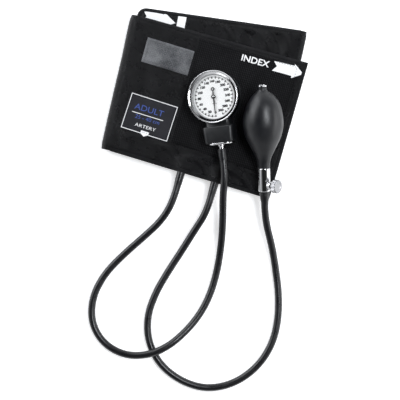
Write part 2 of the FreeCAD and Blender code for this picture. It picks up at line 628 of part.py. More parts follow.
def make_bulb():
    body = bulb_body(0.0, bulb_collar_end, bulb_collar_radius, bulb_neck_end, bulb_neck_radius)
    neck_bore = bulb_neck_radius - bulb_wall
    first_radius, first_place = bulb_outline[0]
    cavity = bulb_body(bulb_wall, first_place - 2.0, first_radius - bulb_wall,
                       bulb_neck_end + 1.0, neck_bore)
    bulb = body.cut(cavity)
    bulb = bulb.cut(disc(collar_bore_radius, bulb_collar_end - 1.0, -27.0))
    save("bulb", bulb, bulb_frame)

    # inlet valve in the bulb's far end: a flanged barrel with a loose disc in its chamber
    barrel = turned([(1.3, -38.0), (3.4, -38.0), (3.4, -38.8), (4.6, -38.8), (4.6, bulb_collar_end),
                     (3.2, bulb_collar_end), (3.2, -30.9), (1.5, -30.9), (1.5, -31.5), (2.5, -31.5),
                     (2.5, -34.2), (1.3, -34.2)])
    save("end_valve_body", barrel, bulb_frame)
    screen = disc(3.35, -38.45, -38.05)
    for ring_radius, count in ((0.0, 1), (1.3, 6), (2.5, 12)):
        for index in range(count):
            bearing = 2.0 * math.pi * index / count
            screen = screen.cut(disc(0.35, -39.0, -37.5, ring_radius * math.cos(bearing),
                                     ring_radius * math.sin(bearing)))
    save("end_valve_screen", screen, bulb_frame)
    save("end_valve_disc", disc(2.2, -32.4, -31.6), bulb_frame)


def make_valve():
    # chrome body: spigot into the bulb, chamber for the outlet poppet, barb for the hose
    spigot = bulb_neck_radius - bulb_wall - 0.05
    chamber_start, chamber_end = chamber
    body = turned([
        (passage_radius, spigot_start), (spigot - 0.4, spigot_start), (spigot, spigot_start + 1.5),
        (spigot, bulb_neck_end), (valve_radius - 0.3, bulb_neck_end), (valve_radius, bulb_neck_end + 0.4),
        (valve_radius, valve_end - 0.4), (valve_radius - 0.3, valve_end), (2.4, valve_end),
        (2.4, valve_barb_end - 5.2), (2.8, valve_barb_end - 5.0), (2.4, valve_barb_end - 2.4),
        (2.8, valve_barb_end - 2.2), (2.2, valve_barb_end), (passage_radius, valve_barb_end),
        (passage_radius, chamber_end), (chamber_radius, chamber_end), (chamber_radius, chamber_start),
        (passage_radius, chamber_start)])
    # the side bore for the release screw, its seat and its outlet
    side_bore = disc(screw_radius + running_clearance, 2.6, 9.0)
    side_bore = side_bore.fuse(disc(0.9, 0.0, 2.7))
    side_bore = side_bore.fuse(Part.makeCylinder(0.6, 8.0, FreeCAD.Vector(0, 0, 4.3),
                                                 FreeCAD.Vector(0, -1, 0)))
    side_bore = side_bore.fuse(disc(3.4, valve_radius - 1.2, 9.0))
    side_bore.transformShape(bulb_frame.inverse().multiply(screw_frame).toMatrix(), False)
    save("valve_body", body.cut(side_bore), bulb_frame)

    poppet = turned([(0.0, chamber_start + 0.05), (2.3, chamber_start + 0.05), (2.3, chamber_start + 1.2),
                     (1.0, chamber_start + 1.5), (1.0, chamber_start + 4.0), (0.0, chamber_start + 4.0)])
    save("outlet_poppet", poppet, bulb_frame)
    spring_start = chamber_start + 1.5
    helix = Part.makeHelix(1.7, chamber_end - spring_start - 0.4, 1.9)
    helix.translate(FreeCAD.Vector(0, 0, spring_start + 0.2))
    wire_section = Part.Wire(Part.makeCircle(0.18, FreeCAD.Vector(1.9, 0, spring_start + 0.2),
                                             FreeCAD.Vector(0, 1, 0)))
    save("poppet_spring", Part.Wire(helix).makePipeShell([wire_section], True, True), bulb_frame)

    # release screw: stem with a conical seat, packing nut and knurled knob
    stem = turned([(0.0, 2.0), (0.5, 2.0), (screw_radius - 0.3, 3.9), (screw_radius, 4.1),
                   (screw_radius, knob_bore_end - 0.1), (0.0, knob_bore_end - 0.1)])
    save("release_stem", stem, screw_frame)
    nut = turned([(screw_radius + running_clearance, 5.25), (3.35, 5.25), (3.35, valve_radius + 0.1),
                  (4.3, valve_radius + 0.1), (4.3, 9.1), (3.9, 9.5), (screw_radius + running_clearance, 9.5)])
    save("packing_nut", nut, screw_frame)
    low, high = knob_span
    knob = turned([(screw_radius + running_clearance, low - 1.9), (3.9, low - 1.9), (4.2, low),
                   (knob_radius - 0.5, low), (knob_radius, low + 0.6), (knob_radius, high - 0.6),
                   (knob_radius - 0.6, high), (4.4, high), (3.4, high - 0.5), (0.0, high - 0.5),
                   (0.0, knob_bore_end), (screw_radius + running_clearance, knob_bore_end)])
    for index in range(knob_grooves):
        bearing = 2.0 * math.pi * index / knob_grooves
        knob = knob.cut(disc(0.42, low - 1.0, high + 1.0, (knob_radius + 0.12) * math.cos(bearing),
                             (knob_radius + 0.12) * math.sin(bearing)))
    save("release_knob", knob, screw_frame)
    print("release screw lifts by %.2f from closed to open" % (screw_pitch * screw_turns))


# --- hoses --------------------------------------------------------------------------------------

def hose_tube(name, route):
    """A round tube along straight runs joined by arcs as large as the runs allow."""
    points = [FreeCAD.Vector(*place) for place in route]
    edges = []
    smallest = None
    start = points[0]
    for before, corner, after in zip(points, points[1:], points[2:]):
        to_before = before - corner
        to_after = after - corner
        shorter = min(to_before.Length, to_after.Length)
        to_before.normalize()
        to_after.normalize()
        turn = math.pi - to_before.getAngle(to_after)
        tangent = arc_share * shorter
        radius = tangent / math.tan(turn / 2.0)
        smallest = radius if smallest is None else min(smallest, radius)
        bisector = to_before + to_after
        bisector.normalize()
        arc_start = corner + to_before * tangent
        arc_end = corner + to_after * tangent
        arc_middle = corner + bisector * (radius / math.cos(turn / 2.0) - radius)
        edges.append(Part.LineSegment(start, arc_start).toShape())
        edges.append(Part.Arc(arc_start, arc_middle, arc_end).toShape())
        start = arc_end
    edges.append(Part.LineSegment(start, points[-1]).toShape())
    path = Part.Wire(edges)
    first_run = points[1] - points[0]
    section = Part.Wire(Part.makeCircle(hose_diameter / 2.0, points[0], first_run))
    tube = path.makePipeShell([section], True, False)
    length = path.Length
    ideal = math.pi * hose_diameter ** 2 / 4.0 * length
    print("%s: length %.1f, smallest radius %.1f, volume / (section x length) %.4f, lowest %.2f"
          % (name, length, smallest, tube.Volume / ideal, tube.BoundBox.ZMin))
    save(name, tube)


def sleeve(start, toward, inner, outer, end_outer):
    """A hose end stretched over a barb, from its mouth at start, tapering to the hose."""
    body = turned([(inner, 0.0), (outer - 0.4, 0.0), (outer, 0.5), (outer, 4.0),
                   (0.5 * (outer + end_outer) - 0.1, 0.6 * sleeve_length), (end_outer, sleeve_length),
                   (inner, sleeve_length)])
    rotation = FreeCAD.Rotation(z_axis, toward)
    body.transformShape(FreeCAD.Placement(start, rotation).toMatrix(), False)
    return body


def make_hoses():
    hose_radius = hose_diameter / 2.0
    outward = FreeCAD.Vector(0, -1, 0)
    ports = {}
    for name, place in port_places.items():
        ports[name] = FreeCAD.Vector(place, top_layer_end_front[1] - 0.6, port_height)
    barb_start = drum_frame.multVec(FreeCAD.Vector(0, 0, barb_collar_end - 0.05))
    barb_toward = drum_frame.Rotation.multVec(FreeCAD.Vector(0, 0, -1))
    valve_start = bulb_frame.multVec(FreeCAD.Vector(0, 0, valve_end + 0.05))
    valve_toward = bulb_frame.Rotation.multVec(z_axis)

    # cuff end, gauge or valve end: mouth, direction, bore, outer radius at the mouth, straight run
    ends = {
        "gauge_hose": [(ports["gauge"], outward, port_radius, 4.5, port_run),
                       (barb_start, barb_toward, 2.65, 5.0, gauge_run)],
        "bulb_hose": [(ports["bulb"], outward, port_radius, 4.5, port_run),
                      (valve_start, valve_toward, 2.85, 5.3, valve_run)]}
    for name, route in (("gauge_hose", gauge_hose_route), ("bulb_hose", bulb_hose_route)):
        first, last = [place + toward * sleeve_length for place, toward, _, _, _ in ends[name]]
        after, before = [place + toward * (sleeve_length + run) for place, toward, _, _, run in ends[name]]
        sleeves = [sleeve(place, toward, bore, outer, hose_radius)
                   for place, toward, bore, outer, _ in ends[name]]
        save(name + "_ends", Part.makeCompound(sleeves))
        full_route = [tuple(first), tuple(after)] + route + [tuple(before), tuple(last)]
        print(name, "runs", [round(v, 2) for v in first], [round(v, 2) for v in after],
              [round(v, 2) for v in before], [round(v, 2) for v in last])
        hose_tube(name, full_route)


# --- shared places ------------------------------------------------------------------------------

pillar_places = [(-11.0, -15.5), (12.4, -16.2), (-3.0, 10.3)]
screw_places = [(-11.2, 0.5), (11.6, -5.5)]
rivet_places = [(-4.5, 16.2), (4.5, 16.2)]
gear_distance = gear_module * (pinion_teeth + sector_teeth) / 2.0
sector_centre = (-lever_offset, -math.sqrt(gear_distance ** 2 - lever_offset ** 2))
capsule_top = -31.8

os.makedirs("parts", exist_ok=True)
make_cuff()
make_gauge_housing()
make_drum()
make_movement()
make_clip()
make_bulb()
make_valve()
make_hoses()
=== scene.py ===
import json
import math

import bmesh
import bpy
import numpy as np
from mathutils import Matrix, Vector, noise


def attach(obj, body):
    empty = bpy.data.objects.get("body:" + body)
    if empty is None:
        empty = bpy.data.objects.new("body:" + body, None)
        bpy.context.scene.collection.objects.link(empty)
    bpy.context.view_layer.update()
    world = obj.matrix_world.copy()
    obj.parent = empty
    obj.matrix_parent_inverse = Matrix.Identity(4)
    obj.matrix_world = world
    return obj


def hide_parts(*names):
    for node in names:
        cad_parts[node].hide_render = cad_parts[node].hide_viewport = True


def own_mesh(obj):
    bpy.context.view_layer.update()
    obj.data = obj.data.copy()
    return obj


# Looks for the arm cuff monitor: folded nylon cuff, dial gauge, squeeze bulb, release valve, hoses.
# Shapes are worked out in millimetres and stored in metres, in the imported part's own frame.
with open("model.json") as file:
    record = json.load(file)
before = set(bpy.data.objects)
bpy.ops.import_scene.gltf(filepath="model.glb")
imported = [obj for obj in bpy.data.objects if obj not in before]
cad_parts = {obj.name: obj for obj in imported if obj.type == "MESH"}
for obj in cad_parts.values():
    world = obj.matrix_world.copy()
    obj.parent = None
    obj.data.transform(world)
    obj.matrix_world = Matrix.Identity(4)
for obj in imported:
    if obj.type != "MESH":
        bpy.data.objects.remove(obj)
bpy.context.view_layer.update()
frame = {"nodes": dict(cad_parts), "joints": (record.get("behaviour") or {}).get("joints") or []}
mm = 0.001
joints = {joint["name"]: joint for joint in frame["joints"]}
print("frame loaded:", len(frame["nodes"]), "nodes")


# small helpers: frames, meshes, outlines

# matrix with the given axes as columns, from local millimetres to metres
def axes(centre, right, up, out):
    turn = Matrix((right, up, out)).transposed().to_4x4()
    return Matrix.Translation(centre) @ turn @ Matrix.Scale(mm, 4)


def makePiece(name, points, faces, material, body="monitor", slot=None, place=None, smooth=True):
    mesh = bpy.data.meshes.new(name)
    place = place or Matrix.Scale(mm, 4)
    spots = np.array([tuple(p) for p in points], float)
    turn = np.array(place.to_3x3())
    spots = spots @ turn.T + np.array(place.translation)
    mesh.from_pydata(spots.tolist(), [], faces)
    mesh.validate()
    mesh.update()
    mesh.polygons.foreach_set("use_smooth", [smooth] * len(mesh.polygons))
    piece = bpy.data.objects.new(name, mesh)
    bpy.context.scene.collection.objects.link(piece)
    piece.data.materials.append(material)
    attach(piece, body)
    return piece


# rounds the corners of an outline with short curves that stay inside them
def eased(outline, radius, steps=4, closed=False):
    count = len(outline)
    rounded = []
    for i, corner in enumerate(outline):
        if not closed and i in (0, count - 1):
            rounded.append(corner)
            continue
        before, after = outline[i - 1], outline[(i + 1) % count]
        cut = min(radius, 0.45 * math.dist(before, corner), 0.45 * math.dist(corner, after))
        start = [c + (b - c) * cut / math.dist(before, corner) for c, b in zip(corner, before)]
        end = [c + (a - c) * cut / math.dist(corner, after) for c, a in zip(corner, after)]
        for step in range(steps + 1):
            t = step / steps
            rounded.append(tuple((1 - t) ** 2 * s + 2 * t * (1 - t) * c + t * t * e
                                 for s, c, e in zip(start, corner, end)))
    return rounded


# Spins a (radius, height) outline about Z. radiusAt may change the radius round the turn.
def turnedMesh(outline, segments=96, closed=False, radiusAt=None):
    points, faces = [], []
    rows = len(outline)
    for i in range(segments):
        bearing = 2 * math.pi * i / segments
        for radius, height in outline:
            r = radiusAt(radius, height, bearing) if radiusAt else radius
            points.append((r * math.cos(bearing), r * math.sin(bearing), height))
    for i in range(segments):
        here, following = i * rows, ((i + 1) % segments) * rows
        for j in range(rows if closed else rows - 1):
            up = (j + 1) % rows
            corners = [here + j, following + j, following + up, here + up]
            if outline[j][0] < 1e-6:
                corners.remove(following + j)
                corners[0] = j
            if outline[up][0] < 1e-6:
                corners.remove(following + up)
                corners[-1] = up
            faces.append(corners)
    return points, faces


def turnedPiece(name, outline, material, place, ease=0.3, segments=96, closed=False, radiusAt=None,
                **settings):
    outline = eased(outline, ease, closed=closed)
    points, faces = turnedMesh(outline, segments, closed, radiusAt)
    return makePiece(name, points, faces, material, place=place, **settings)


# several (points, faces) lists as one
def joined(parts):
    points, faces = [], []
    for some, more in parts:
        base = len(points)
        points.extend(some)
        faces.extend([[base + k for k in face] for face in more])
    return points, faces


def smoothStep(value):
    value = min(max(value, 0.0), 1.0)
    return value * value * (3 - 2 * value)


# materials: every one is a small tree of procedural nodes

def startMaterial(name, roughness, metallic=0.0):
    material = bpy.data.materials.new(name)
    material.use_nodes = True
    tree = material.node_tree
    shader = tree.nodes["Principled BSDF"]
    shader.inputs["Roughness"].default_value = roughness
    shader.inputs["Metallic"].default_value = metallic
    return material, tree, shader


def addNode(tree, kind, inputs=None, **settings):
    node = tree.nodes.new(kind)
    for key, value in settings.items():
        setattr(node, key, value)
    for key, value in (inputs or {}).items():
        if isinstance(value, bpy.types.NodeSocket):
            tree.links.new(value, node.inputs[key])
        else:
            node.inputs[key].default_value = value
    return node


def addMath(tree, operation, first, second=0.0):
    return addNode(tree, "ShaderNodeMath", {0: first, 1: second}, operation=operation).outputs[0]


def addNoise(tree, place, scale, detail=4.0, roughness=0.55):
    return addNode(tree, "ShaderNodeTexNoise", {"Vector": place, "Scale": scale, "Detail": detail,
                                                "Roughness": roughness}).outputs["Fac"]


def addRange(tree, value, low, high, fromLow=0.3, fromHigh=0.7):
    return addNode(tree, "ShaderNodeMapRange", {"Value": value, "From Min": fromLow, "From Max": fromHigh,
                                                "To Min": low, "To Max": high}).outputs["Result"]


def addShades(tree, value, dark, light, fromLow=0.3, fromHigh=0.7):
    ramp = addNode(tree, "ShaderNodeValToRGB", {"Fac": value})
    ramp.color_ramp.elements[0].position = fromLow
    ramp.color_ramp.elements[1].position = fromHigh
    ramp.color_ramp.elements[0].color = (*dark, 1)
    ramp.color_ramp.elements[1].color = (*light, 1)
    return ramp.outputs["Color"]


def addBump(tree, shader, height, distance, strength=1.0, before=None):
    inputs = {"Height": height, "Distance": distance, "Strength": strength}
    if before is not None:
        inputs["Normal"] = before
    bump = addNode(tree, "ShaderNodeBump", inputs).outputs["Normal"]
    tree.links.new(bump, shader.inputs["Normal"])
    return bump


def objectPlace(tree):
    return addNode(tree, "ShaderNodeTexCoord").outputs["Object"]


# woven cloth: over-and-under threads, uneven dye and a soft sheen
def clothMaterial(name, dark, light, pitch, weaveDepth, sheen=0.3, roughness=0.75, fuzz=0.0, alongPlan=False,
                  shine=0.35, contrast=0.05):
    material, tree, shader = startMaterial(name, roughness)
    place = objectPlace(tree)
    threads = place
    if not alongPlan:
        threads = addNode(tree, "ShaderNodeUVMap", uv_map="cloth").outputs["UV"]
    across = addNode(tree, "ShaderNodeSeparateXYZ", {0: threads})
    wave = 2 * math.pi / (pitch * mm)
    warp = addMath(tree, "SINE", addMath(tree, "MULTIPLY", across.outputs[0], wave))
    weft = addMath(tree, "SINE", addMath(tree, "MULTIPLY", across.outputs[1], wave))
    weave = addMath(tree, "MULTIPLY", warp, weft)
    slubs = addNoise(tree, threads, 900.0, 3.0)
    height = addMath(tree, "ADD", weave, addMath(tree, "MULTIPLY", slubs, 0.8 + fuzz))
    patches = addNoise(tree, place, 45.0, 5.0)
    grain = addMath(tree, "MULTIPLY", addMath(tree, "SUBTRACT", slubs, 0.5), 2.5 * contrast)
    uneven = addMath(tree, "ADD", patches, grain)
    tone = addMath(tree, "ADD", uneven, addMath(tree, "MULTIPLY", weave, contrast))
    tree.links.new(addShades(tree, tone, dark, light), shader.inputs["Base Color"])
    rough = addRange(tree, addNoise(tree, place, 120.0), roughness - 0.08, roughness + 0.08)
    tree.links.new(rough, shader.inputs["Roughness"])
    shader.inputs["Sheen Weight"].default_value = sheen
    shader.inputs["Sheen Roughness"].default_value = 0.25
    shader.inputs["Sheen Tint"].default_value = (0.85, 0.85, 1.0, 1)
    shader.inputs["Specular IOR Level"].default_value = shine
    addBump(tree, shader, height, weaveDepth * mm)
    return material


# brushed loops in rows: painted light on the crests and painted shade, nearly black, between them
def pileMaterial(name, dark, light, ribPitch):
    material, tree, shader = startMaterial(name, 0.95)
    place = objectPlace(tree)
    lay = addNode(tree, "ShaderNodeUVMap", uv_map="rows").outputs[0]
    rows = addNode(tree, "ShaderNodeSeparateXYZ", {0: lay})
    wave = 2 * math.pi / (ribPitch * mm)
    # painted highlight along the row crests and painted shade in the hollows between them, at the ribs' own
    # pitch
    across = addMath(tree, "SINE", addMath(tree, "MULTIPLY", rows.outputs[0], wave))
    along = addMath(tree, "SINE", addMath(tree, "MULTIPLY", rows.outputs[1], wave * 0.85))
    loops = addMath(tree, "MULTIPLY", addMath(tree, "ADD", across, 1.0), addMath(tree, "ADD", along, 1.6))
    tufts = addNoise(tree, place, 420.0, 4.0, 0.7)
    worn = addNoise(tree, place, 30.0, 4.0)
    fuzzy = addMath(tree, "MULTIPLY", loops, tufts)
    paintedRowShading = addMath(tree, "MULTIPLY", fuzzy, addMath(tree, "MULTIPLY", worn, 0.62))
    tree.links.new(addShades(tree, paintedRowShading, dark, light, 0.05, 1.1), shader.inputs["Base Color"])
    shader.inputs["Specular IOR Level"].default_value = 0.06
    addBump(tree, shader, tufts, 0.2 * mm)
    return material


# moulded rubber: fine grain, a little bloom, rubbed patches that shine more
def rubberMaterial(name, dark, light, roughness, grain=0.02, grainScale=1400.0, gloss=0.5):
    material, tree, shader = startMaterial(name, roughness)
    place = objectPlace(tree)
    bloom = addNoise(tree, place, 60.0, 6.0, 0.6)
    tree.links.new(addShades(tree, bloom, dark, light), shader.inputs["Base Color"])
    rubbed = addNoise(tree, place, 110.0, 3.0)
    tree.links.new(addRange(tree, rubbed, roughness - 0.06, roughness + 0.07), shader.inputs["Roughness"])
    skin = addNoise(tree, place, grainScale, 2.0)
    waviness = addNoise(tree, place, 170.0, 2.0)
    first = addBump(tree, shader, waviness, 0.05 * mm, 0.6)
    addBump(tree, shader, skin, grain * mm, 0.8, before=first)
    shader.inputs["Specular IOR Level"].default_value = gloss
    return material


# plated or ground metal: faint lines along the grind and slightly uneven polish
def metalMaterial(name, dark, light, roughness, stretch=(1.0, 1.0, 1.0), marks=0.01):
    material, tree, shader = startMaterial(name, roughness, 1.0)
    place = objectPlace(tree)
    grind = addNode(tree, "ShaderNodeMapping", {"Vector": place, "Scale": stretch}).outputs[0]
    lines = addNoise(tree, grind, 900.0, 3.0)
    tree.links.new(addShades(tree, addNoise(tree, place, 80.0), dark, light), shader.inputs["Base Color"])
    tree.links.new(addRange(tree, lines, max(roughness - 0.04, 0.02), roughness + 0.06),
                   shader.inputs["Roughness"])
    addBump(tree, shader, lines, marks * mm, 0.5)
    return material


# paint or gloss plastic: an even coat with slight orange peel and a gloss that varies a little
def paintMaterial(name, dark, light, roughness, coat=0.0, peel=0.02, peelScale=900.0):
    material, tree, shader = startMaterial(name, roughness)
    place = objectPlace(tree)
    tree.links.new(addShades(tree, addNoise(tree, place, 70.0, 5.0), dark, light),
                   shader.inputs["Base Color"])
    tree.links.new(addRange(tree, addNoise(tree, place, 200.0), roughness - 0.05, roughness + 0.06),
                   shader.inputs["Roughness"])
    shader.inputs["Coat Weight"].default_value = coat
    shader.inputs["Coat Roughness"].default_value = 0.12
    addBump(tree, shader, addNoise(tree, place, peelScale, 2.0), peel * mm, 0.6)
    return material


# screen print: a flexible ink film with pinholes where the cloth shows its weave
def inkMaterial(name, dark, light, roughness=0.55):
    material, tree, shader = startMaterial(name, roughness)
    place = objectPlace(tree)
    film = addNoise(tree, place, 700.0, 4.0, 0.65)
    tree.links.new(addShades(tree, film, dark, light, 0.25, 0.6), shader.inputs["Base Color"])
    addBump(tree, shader, film, 0.03 * mm, 0.8)
    return material


# clear cover: sight goes through, and the surface mirrors a little, more towards its edge
def lensMaterial(name):
    material, tree, shader = startMaterial(name, 0.03)
    tree.nodes.remove(shader)
    smear = addNoise(tree, objectPlace(tree), 90.0, 3.0)
    clear = addNode(tree, "ShaderNodeBsdfTransparent", {"Color": (0.99, 0.99, 0.99, 1)})
    mirror = addNode(tree, "ShaderNodeBsdfGlossy", {"Color": (1, 1, 1, 1),
                                                    "Roughness": addRange(tree, smear, 0.02, 0.06)})
    share = addMath(tree, "MULTIPLY", addNode(tree, "ShaderNodeFresnel", {"IOR": 1.4}).outputs[0], 0.25)
    mix = addNode(tree, "ShaderNodeMixShader", {0: share, 1: clear.outputs[0], 2: mirror.outputs[0]})
    tree.links.new(mix.outputs[0], tree.nodes["Material Output"].inputs["Surface"])
    return material


# plated band with a painted reflection: its colour is bright on one side and goes across its middle to
# painted shade, nearly black, on the other
def bandMaterial(name, centre, bright, reach):
    material, tree, shader = startMaterial(name, 0.12, 1.0)
    dark, light = (0.012, 0.012, 0.013), (0.88, 0.88, 0.885)
    place = objectPlace(tree)
    away = addNode(tree, "ShaderNodeVectorMath", {0: place, 1: centre}, operation="SUBTRACT").outputs[0]
    across = addNode(tree, "ShaderNodeVectorMath", {0: away, 1: bright}, operation="DOT_PRODUCT")
    # painted reflection and shade: lighter along the given side's direction from the centre, darker away from
    # it, with noise on the border
    paintedReflection = addMath(tree, "ADD", addMath(tree, "DIVIDE", across.outputs["Value"], reach),
                    addMath(tree, "MULTIPLY", addNoise(tree, place, 60.0), 0.15))
    tone = addRange(tree, paintedReflection, 0.0, 1.0, -0.3, 0.5)
    tree.links.new(addShades(tree, tone, dark, light, 0.2, 0.7), shader.inputs["Base Color"])
    addBump(tree, shader, addNoise(tree, place, 800.0), 0.004 * mm)
    return material


nylon = clothMaterial("coatedNylon", (0.0012, 0.0012, 0.0015), (0.0042, 0.0041, 0.0050), 0.55, 0.05, 0.07,
                      0.30, shine=0.16, contrast=0.12)
bindingTape = clothMaterial("bindingTape", (0.005, 0.005, 0.006), (0.011, 0.011, 0.012), 0.8, 0.12, 0.0, 0.7,
                            shine=0.2)
loopPile = pileMaterial("loopPile", (0.0050, 0.0050, 0.0055), (0.0260, 0.0260, 0.0275), 1.9)
hookTape = clothMaterial("hookTape", (0.010, 0.010, 0.010), (0.02, 0.02, 0.02), 1.4, 0.4, 0.1, 0.6, 0.3, True)
greyTape = clothMaterial("greyTape", (0.045, 0.047, 0.052), (0.260, 0.265, 0.275), 1.6, 0.3, 0.1, 0.85, 0.5,
                         shine=0.1, contrast=0.22)
labelSatin = clothMaterial("labelSatin", (0.007, 0.007, 0.010), (0.014, 0.0135, 0.018), 0.35, 0.03, 0.0, 0.5,
                           shine=0.25)
blackThread = clothMaterial("blackThread", (0.003, 0.003, 0.003), (0.008, 0.008, 0.009), 0.4, 0.05, 0.0, 0.8,
                            0.0, True, 0.1)
greyThread = clothMaterial("greyThread", (0.13, 0.133, 0.14), (0.19, 0.193, 0.20), 0.4, 0.05, 0.0, 0.8,
                           0.0, True, 0.1)
whiteInk = inkMaterial("whiteInk", (0.78, 0.78, 0.78), (0.93, 0.93, 0.93))
blueInk = inkMaterial("blueInk", (0.020, 0.050, 0.24), (0.035, 0.080, 0.34))
dialInk = inkMaterial("dialInk", (0.006, 0.006, 0.006), (0.016, 0.016, 0.016))
bulbRubber = rubberMaterial("bulbRubber", (0.0034, 0.0038, 0.0052), (0.0062, 0.0068, 0.0088), 0.38, 0.02)
hoseRubber = rubberMaterial("hoseRubber", (0.0042, 0.0042, 0.0052), (0.0078, 0.0078, 0.0094), 0.30, 0.012)
sealRubber = rubberMaterial("sealRubber", (0.012, 0.012, 0.012), (0.02, 0.02, 0.02), 0.6, 0.03)
bladderRubber = rubberMaterial("bladderRubber", (0.02, 0.02, 0.02), (0.035, 0.035, 0.035), 0.65, 0.05)
chrome = metalMaterial("chrome", (0.66, 0.66, 0.67), (0.76, 0.76, 0.77), 0.07, marks=0.004)
knurled = metalMaterial("knurledChrome", (0.30, 0.30, 0.31), (0.44, 0.44, 0.45), 0.16, marks=0.02)
steel = metalMaterial("groundSteel", (0.42, 0.42, 0.43), (0.56, 0.56, 0.57), 0.3, (0.15, 1.0, 1.0), 0.02)
brass = metalMaterial("stampedBrass", (0.48, 0.34, 0.13), (0.62, 0.46, 0.2), 0.28, (1.0, 0.2, 1.0), 0.02)
casePaint = paintMaterial("casePaint", (0.0036, 0.0041, 0.0050), (0.0080, 0.0088, 0.0102), 0.40, 0.0, 0.03)
dialPaint = paintMaterial("dialPaint", (0.92, 0.915, 0.90), (0.96, 0.955, 0.94), 0.6, 0.0, 0.004)
spacerPaint = paintMaterial("spacerPaint", (0.42, 0.42, 0.425), (0.52, 0.52, 0.525), 0.45, 0.0, 0.01)
pointerPaint = paintMaterial("pointerPaint", (0.010, 0.010, 0.010), (0.02, 0.02, 0.02), 0.5, 0.0, 0.01)
clearLens = lensMaterial("clearLens")
print("materials made")


# camera: straight above the layout and turned a little about its sight line

view = {"over": (24.7, -94.6), "height": 1250.0, "turn": 15.7, "seenWidth": 420.0, "sensor": 36.0}

camera = bpy.data.objects.new("camera", bpy.data.cameras.new("camera"))
bpy.context.scene.collection.objects.link(camera)
camera.data.sensor_width = view["sensor"]
camera.data.lens = view["sensor"] * view["height"] / view["seenWidth"]
camera.location = (view["over"][0] * mm, view["over"][1] * mm, view["height"] * mm)
camera.rotation_euler = (0, 0, math.radians(view["turn"]))
bpy.context.scene.camera = camera


# hoses: one smooth NURBS line each through the CAD tubes' route points, in metres
# where the gauge hose crosses the other it lies a little lower than in CAD

hose = {"diameter": 7.5, "sides": 10, "steps": 14, "portSleeve": 20.0, "endSleeve": 14.0}

gaugeHoseRoute = [
    (-0.0020, -0.0884, 0.0131),
    (-0.0020, -0.1054, 0.0131), (-0.0086, -0.1270, 0.0088), (-0.0218, -0.1480, 0.0046),
    (-0.0372, -0.1715, 0.00375), (-0.0506, -0.1960, 0.00375), (-0.0564, -0.2230, 0.00375),
    (-0.0502, -0.2490, 0.00375), (-0.0322, -0.2666, 0.0046), (-0.0074, -0.2720, 0.0084),
    (0.0162, -0.2648, 0.0124), (0.0342, -0.2502, 0.0124), (0.0474, -0.2310, 0.0080),
    (0.0566, -0.2110, 0.0048), (0.0614, -0.1900, 0.00375), (0.0623, -0.1680, 0.0039),
    (0.0604, -0.1450, 0.0064), (0.0564, -0.1220, 0.0126), (0.0508, -0.1000, 0.0206),
    (0.0456, -0.0815, 0.0276), (0.04300, -0.06449, 0.03146), (0.03757, -0.05105, 0.03146)]
bulbHoseRoute = [
    (0.0346, -0.0884, 0.0131),
    (0.0346, -0.1054, 0.0131), (0.0276, -0.1270, 0.0084), (0.0208, -0.1505, 0.0048),
    (0.0126, -0.1760, 0.00375), (0.0060, -0.2015, 0.00375), (0.0044, -0.2270, 0.00375),
    (0.0122, -0.2515, 0.00375), (0.0300, -0.2715, 0.00375), (0.0560, -0.2826, 0.00375),
    (0.0845, -0.2835, 0.00375), (0.1106, -0.2705, 0.00375), (0.1296, -0.2475, 0.00375),
    (0.1384, -0.2205, 0.00375), (0.1376, -0.1940, 0.00375), (0.1312, -0.1685, 0.00375),
    (0.1212, -0.1445, 0.0046), (0.1104, -0.1215, 0.0090), (0.09494, -0.09566, 0.01674),
    (0.09022, -0.08077, 0.02021)]


def makeHose(name, route, node):
    curve = bpy.data.curves.new(name, "CURVE")
    curve.dimensions = "3D"
    curve.resolution_u = hose["steps"]
    curve.bevel_resolution = hose["sides"]
    curve.use_fill_caps = True
    line = curve.splines.new("NURBS")
    line.points.add(len(route) - 1)
    for point, place in zip(line.points, route):
        point.co = (*place, 1)
    line.order_u = 3
    line.use_endpoint_u = True
    piece = bpy.data.objects.new(name, curve)
    bpy.context.scene.collection.objects.link(piece)
    bare = bpy.data.meshes.new_from_object(piece)
    spots = [v.co.copy() for v in bare.vertices]
    length = sum((b - a).length for a, b in zip(spots, spots[1:]))
    bpy.data.meshes.remove(bare)
    curve.bevel_depth = hose["diameter"] / 2 * mm
    curve.materials.append(hoseRubber)
    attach(piece, "monitor")
    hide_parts(node)
    print(name, "length", round(length, 4))
    return piece, length


gaugeHose, gaugeHoseLength = makeHose("gaugeHose", gaugeHoseRoute, "gauge_hose")
bulbHose, bulbHoseLength = makeHose("bulbHose", bulbHoseRoute, "bulb_hose")


# frames of the gauge, the bulb and the release screw, read from the joints

dialOut = -Vector(joints["pointer_turn"]["axis"])
dialUp = Vector(joints["rod_slide"]["axis"])
gaugeFrame = axes(Vector(joints["pointer_turn"]["pos_m"]), dialUp.cross(dialOut), dialUp, dialOut)
drumDepth = -8                                        # drum axis behind the dial face
drumFrame = gaugeFrame @ Matrix.Translation((0, 0, drumDepth)) @ Matrix.Rotation(math.radians(-90), 4, "X")

toValve = -Vector(joints["inlet_disc_lift"]["axis"])
screwOut = Vector(joints["knob_turn"]["axis"])
screwPlace = 64.4                                     # from the bulb centre along the valve
bulbRight = Vector((0, 0, 1)).cross(-toValve).normalized()
bulbUp = toValve.cross(bulbRight)
bulbCentre = Vector(joints["knob_turn"]["pos_m"]) - toValve * screwPlace * mm
bulbFrame = axes(bulbCentre, bulbRight, bulbUp, toValve)
screwFrame = axes(Vector(joints["knob_turn"]["pos_m"]), -toValve, toValve.cross(screwOut) * -1, screwOut)


# hose ends: flared rubber stretched over the barbs

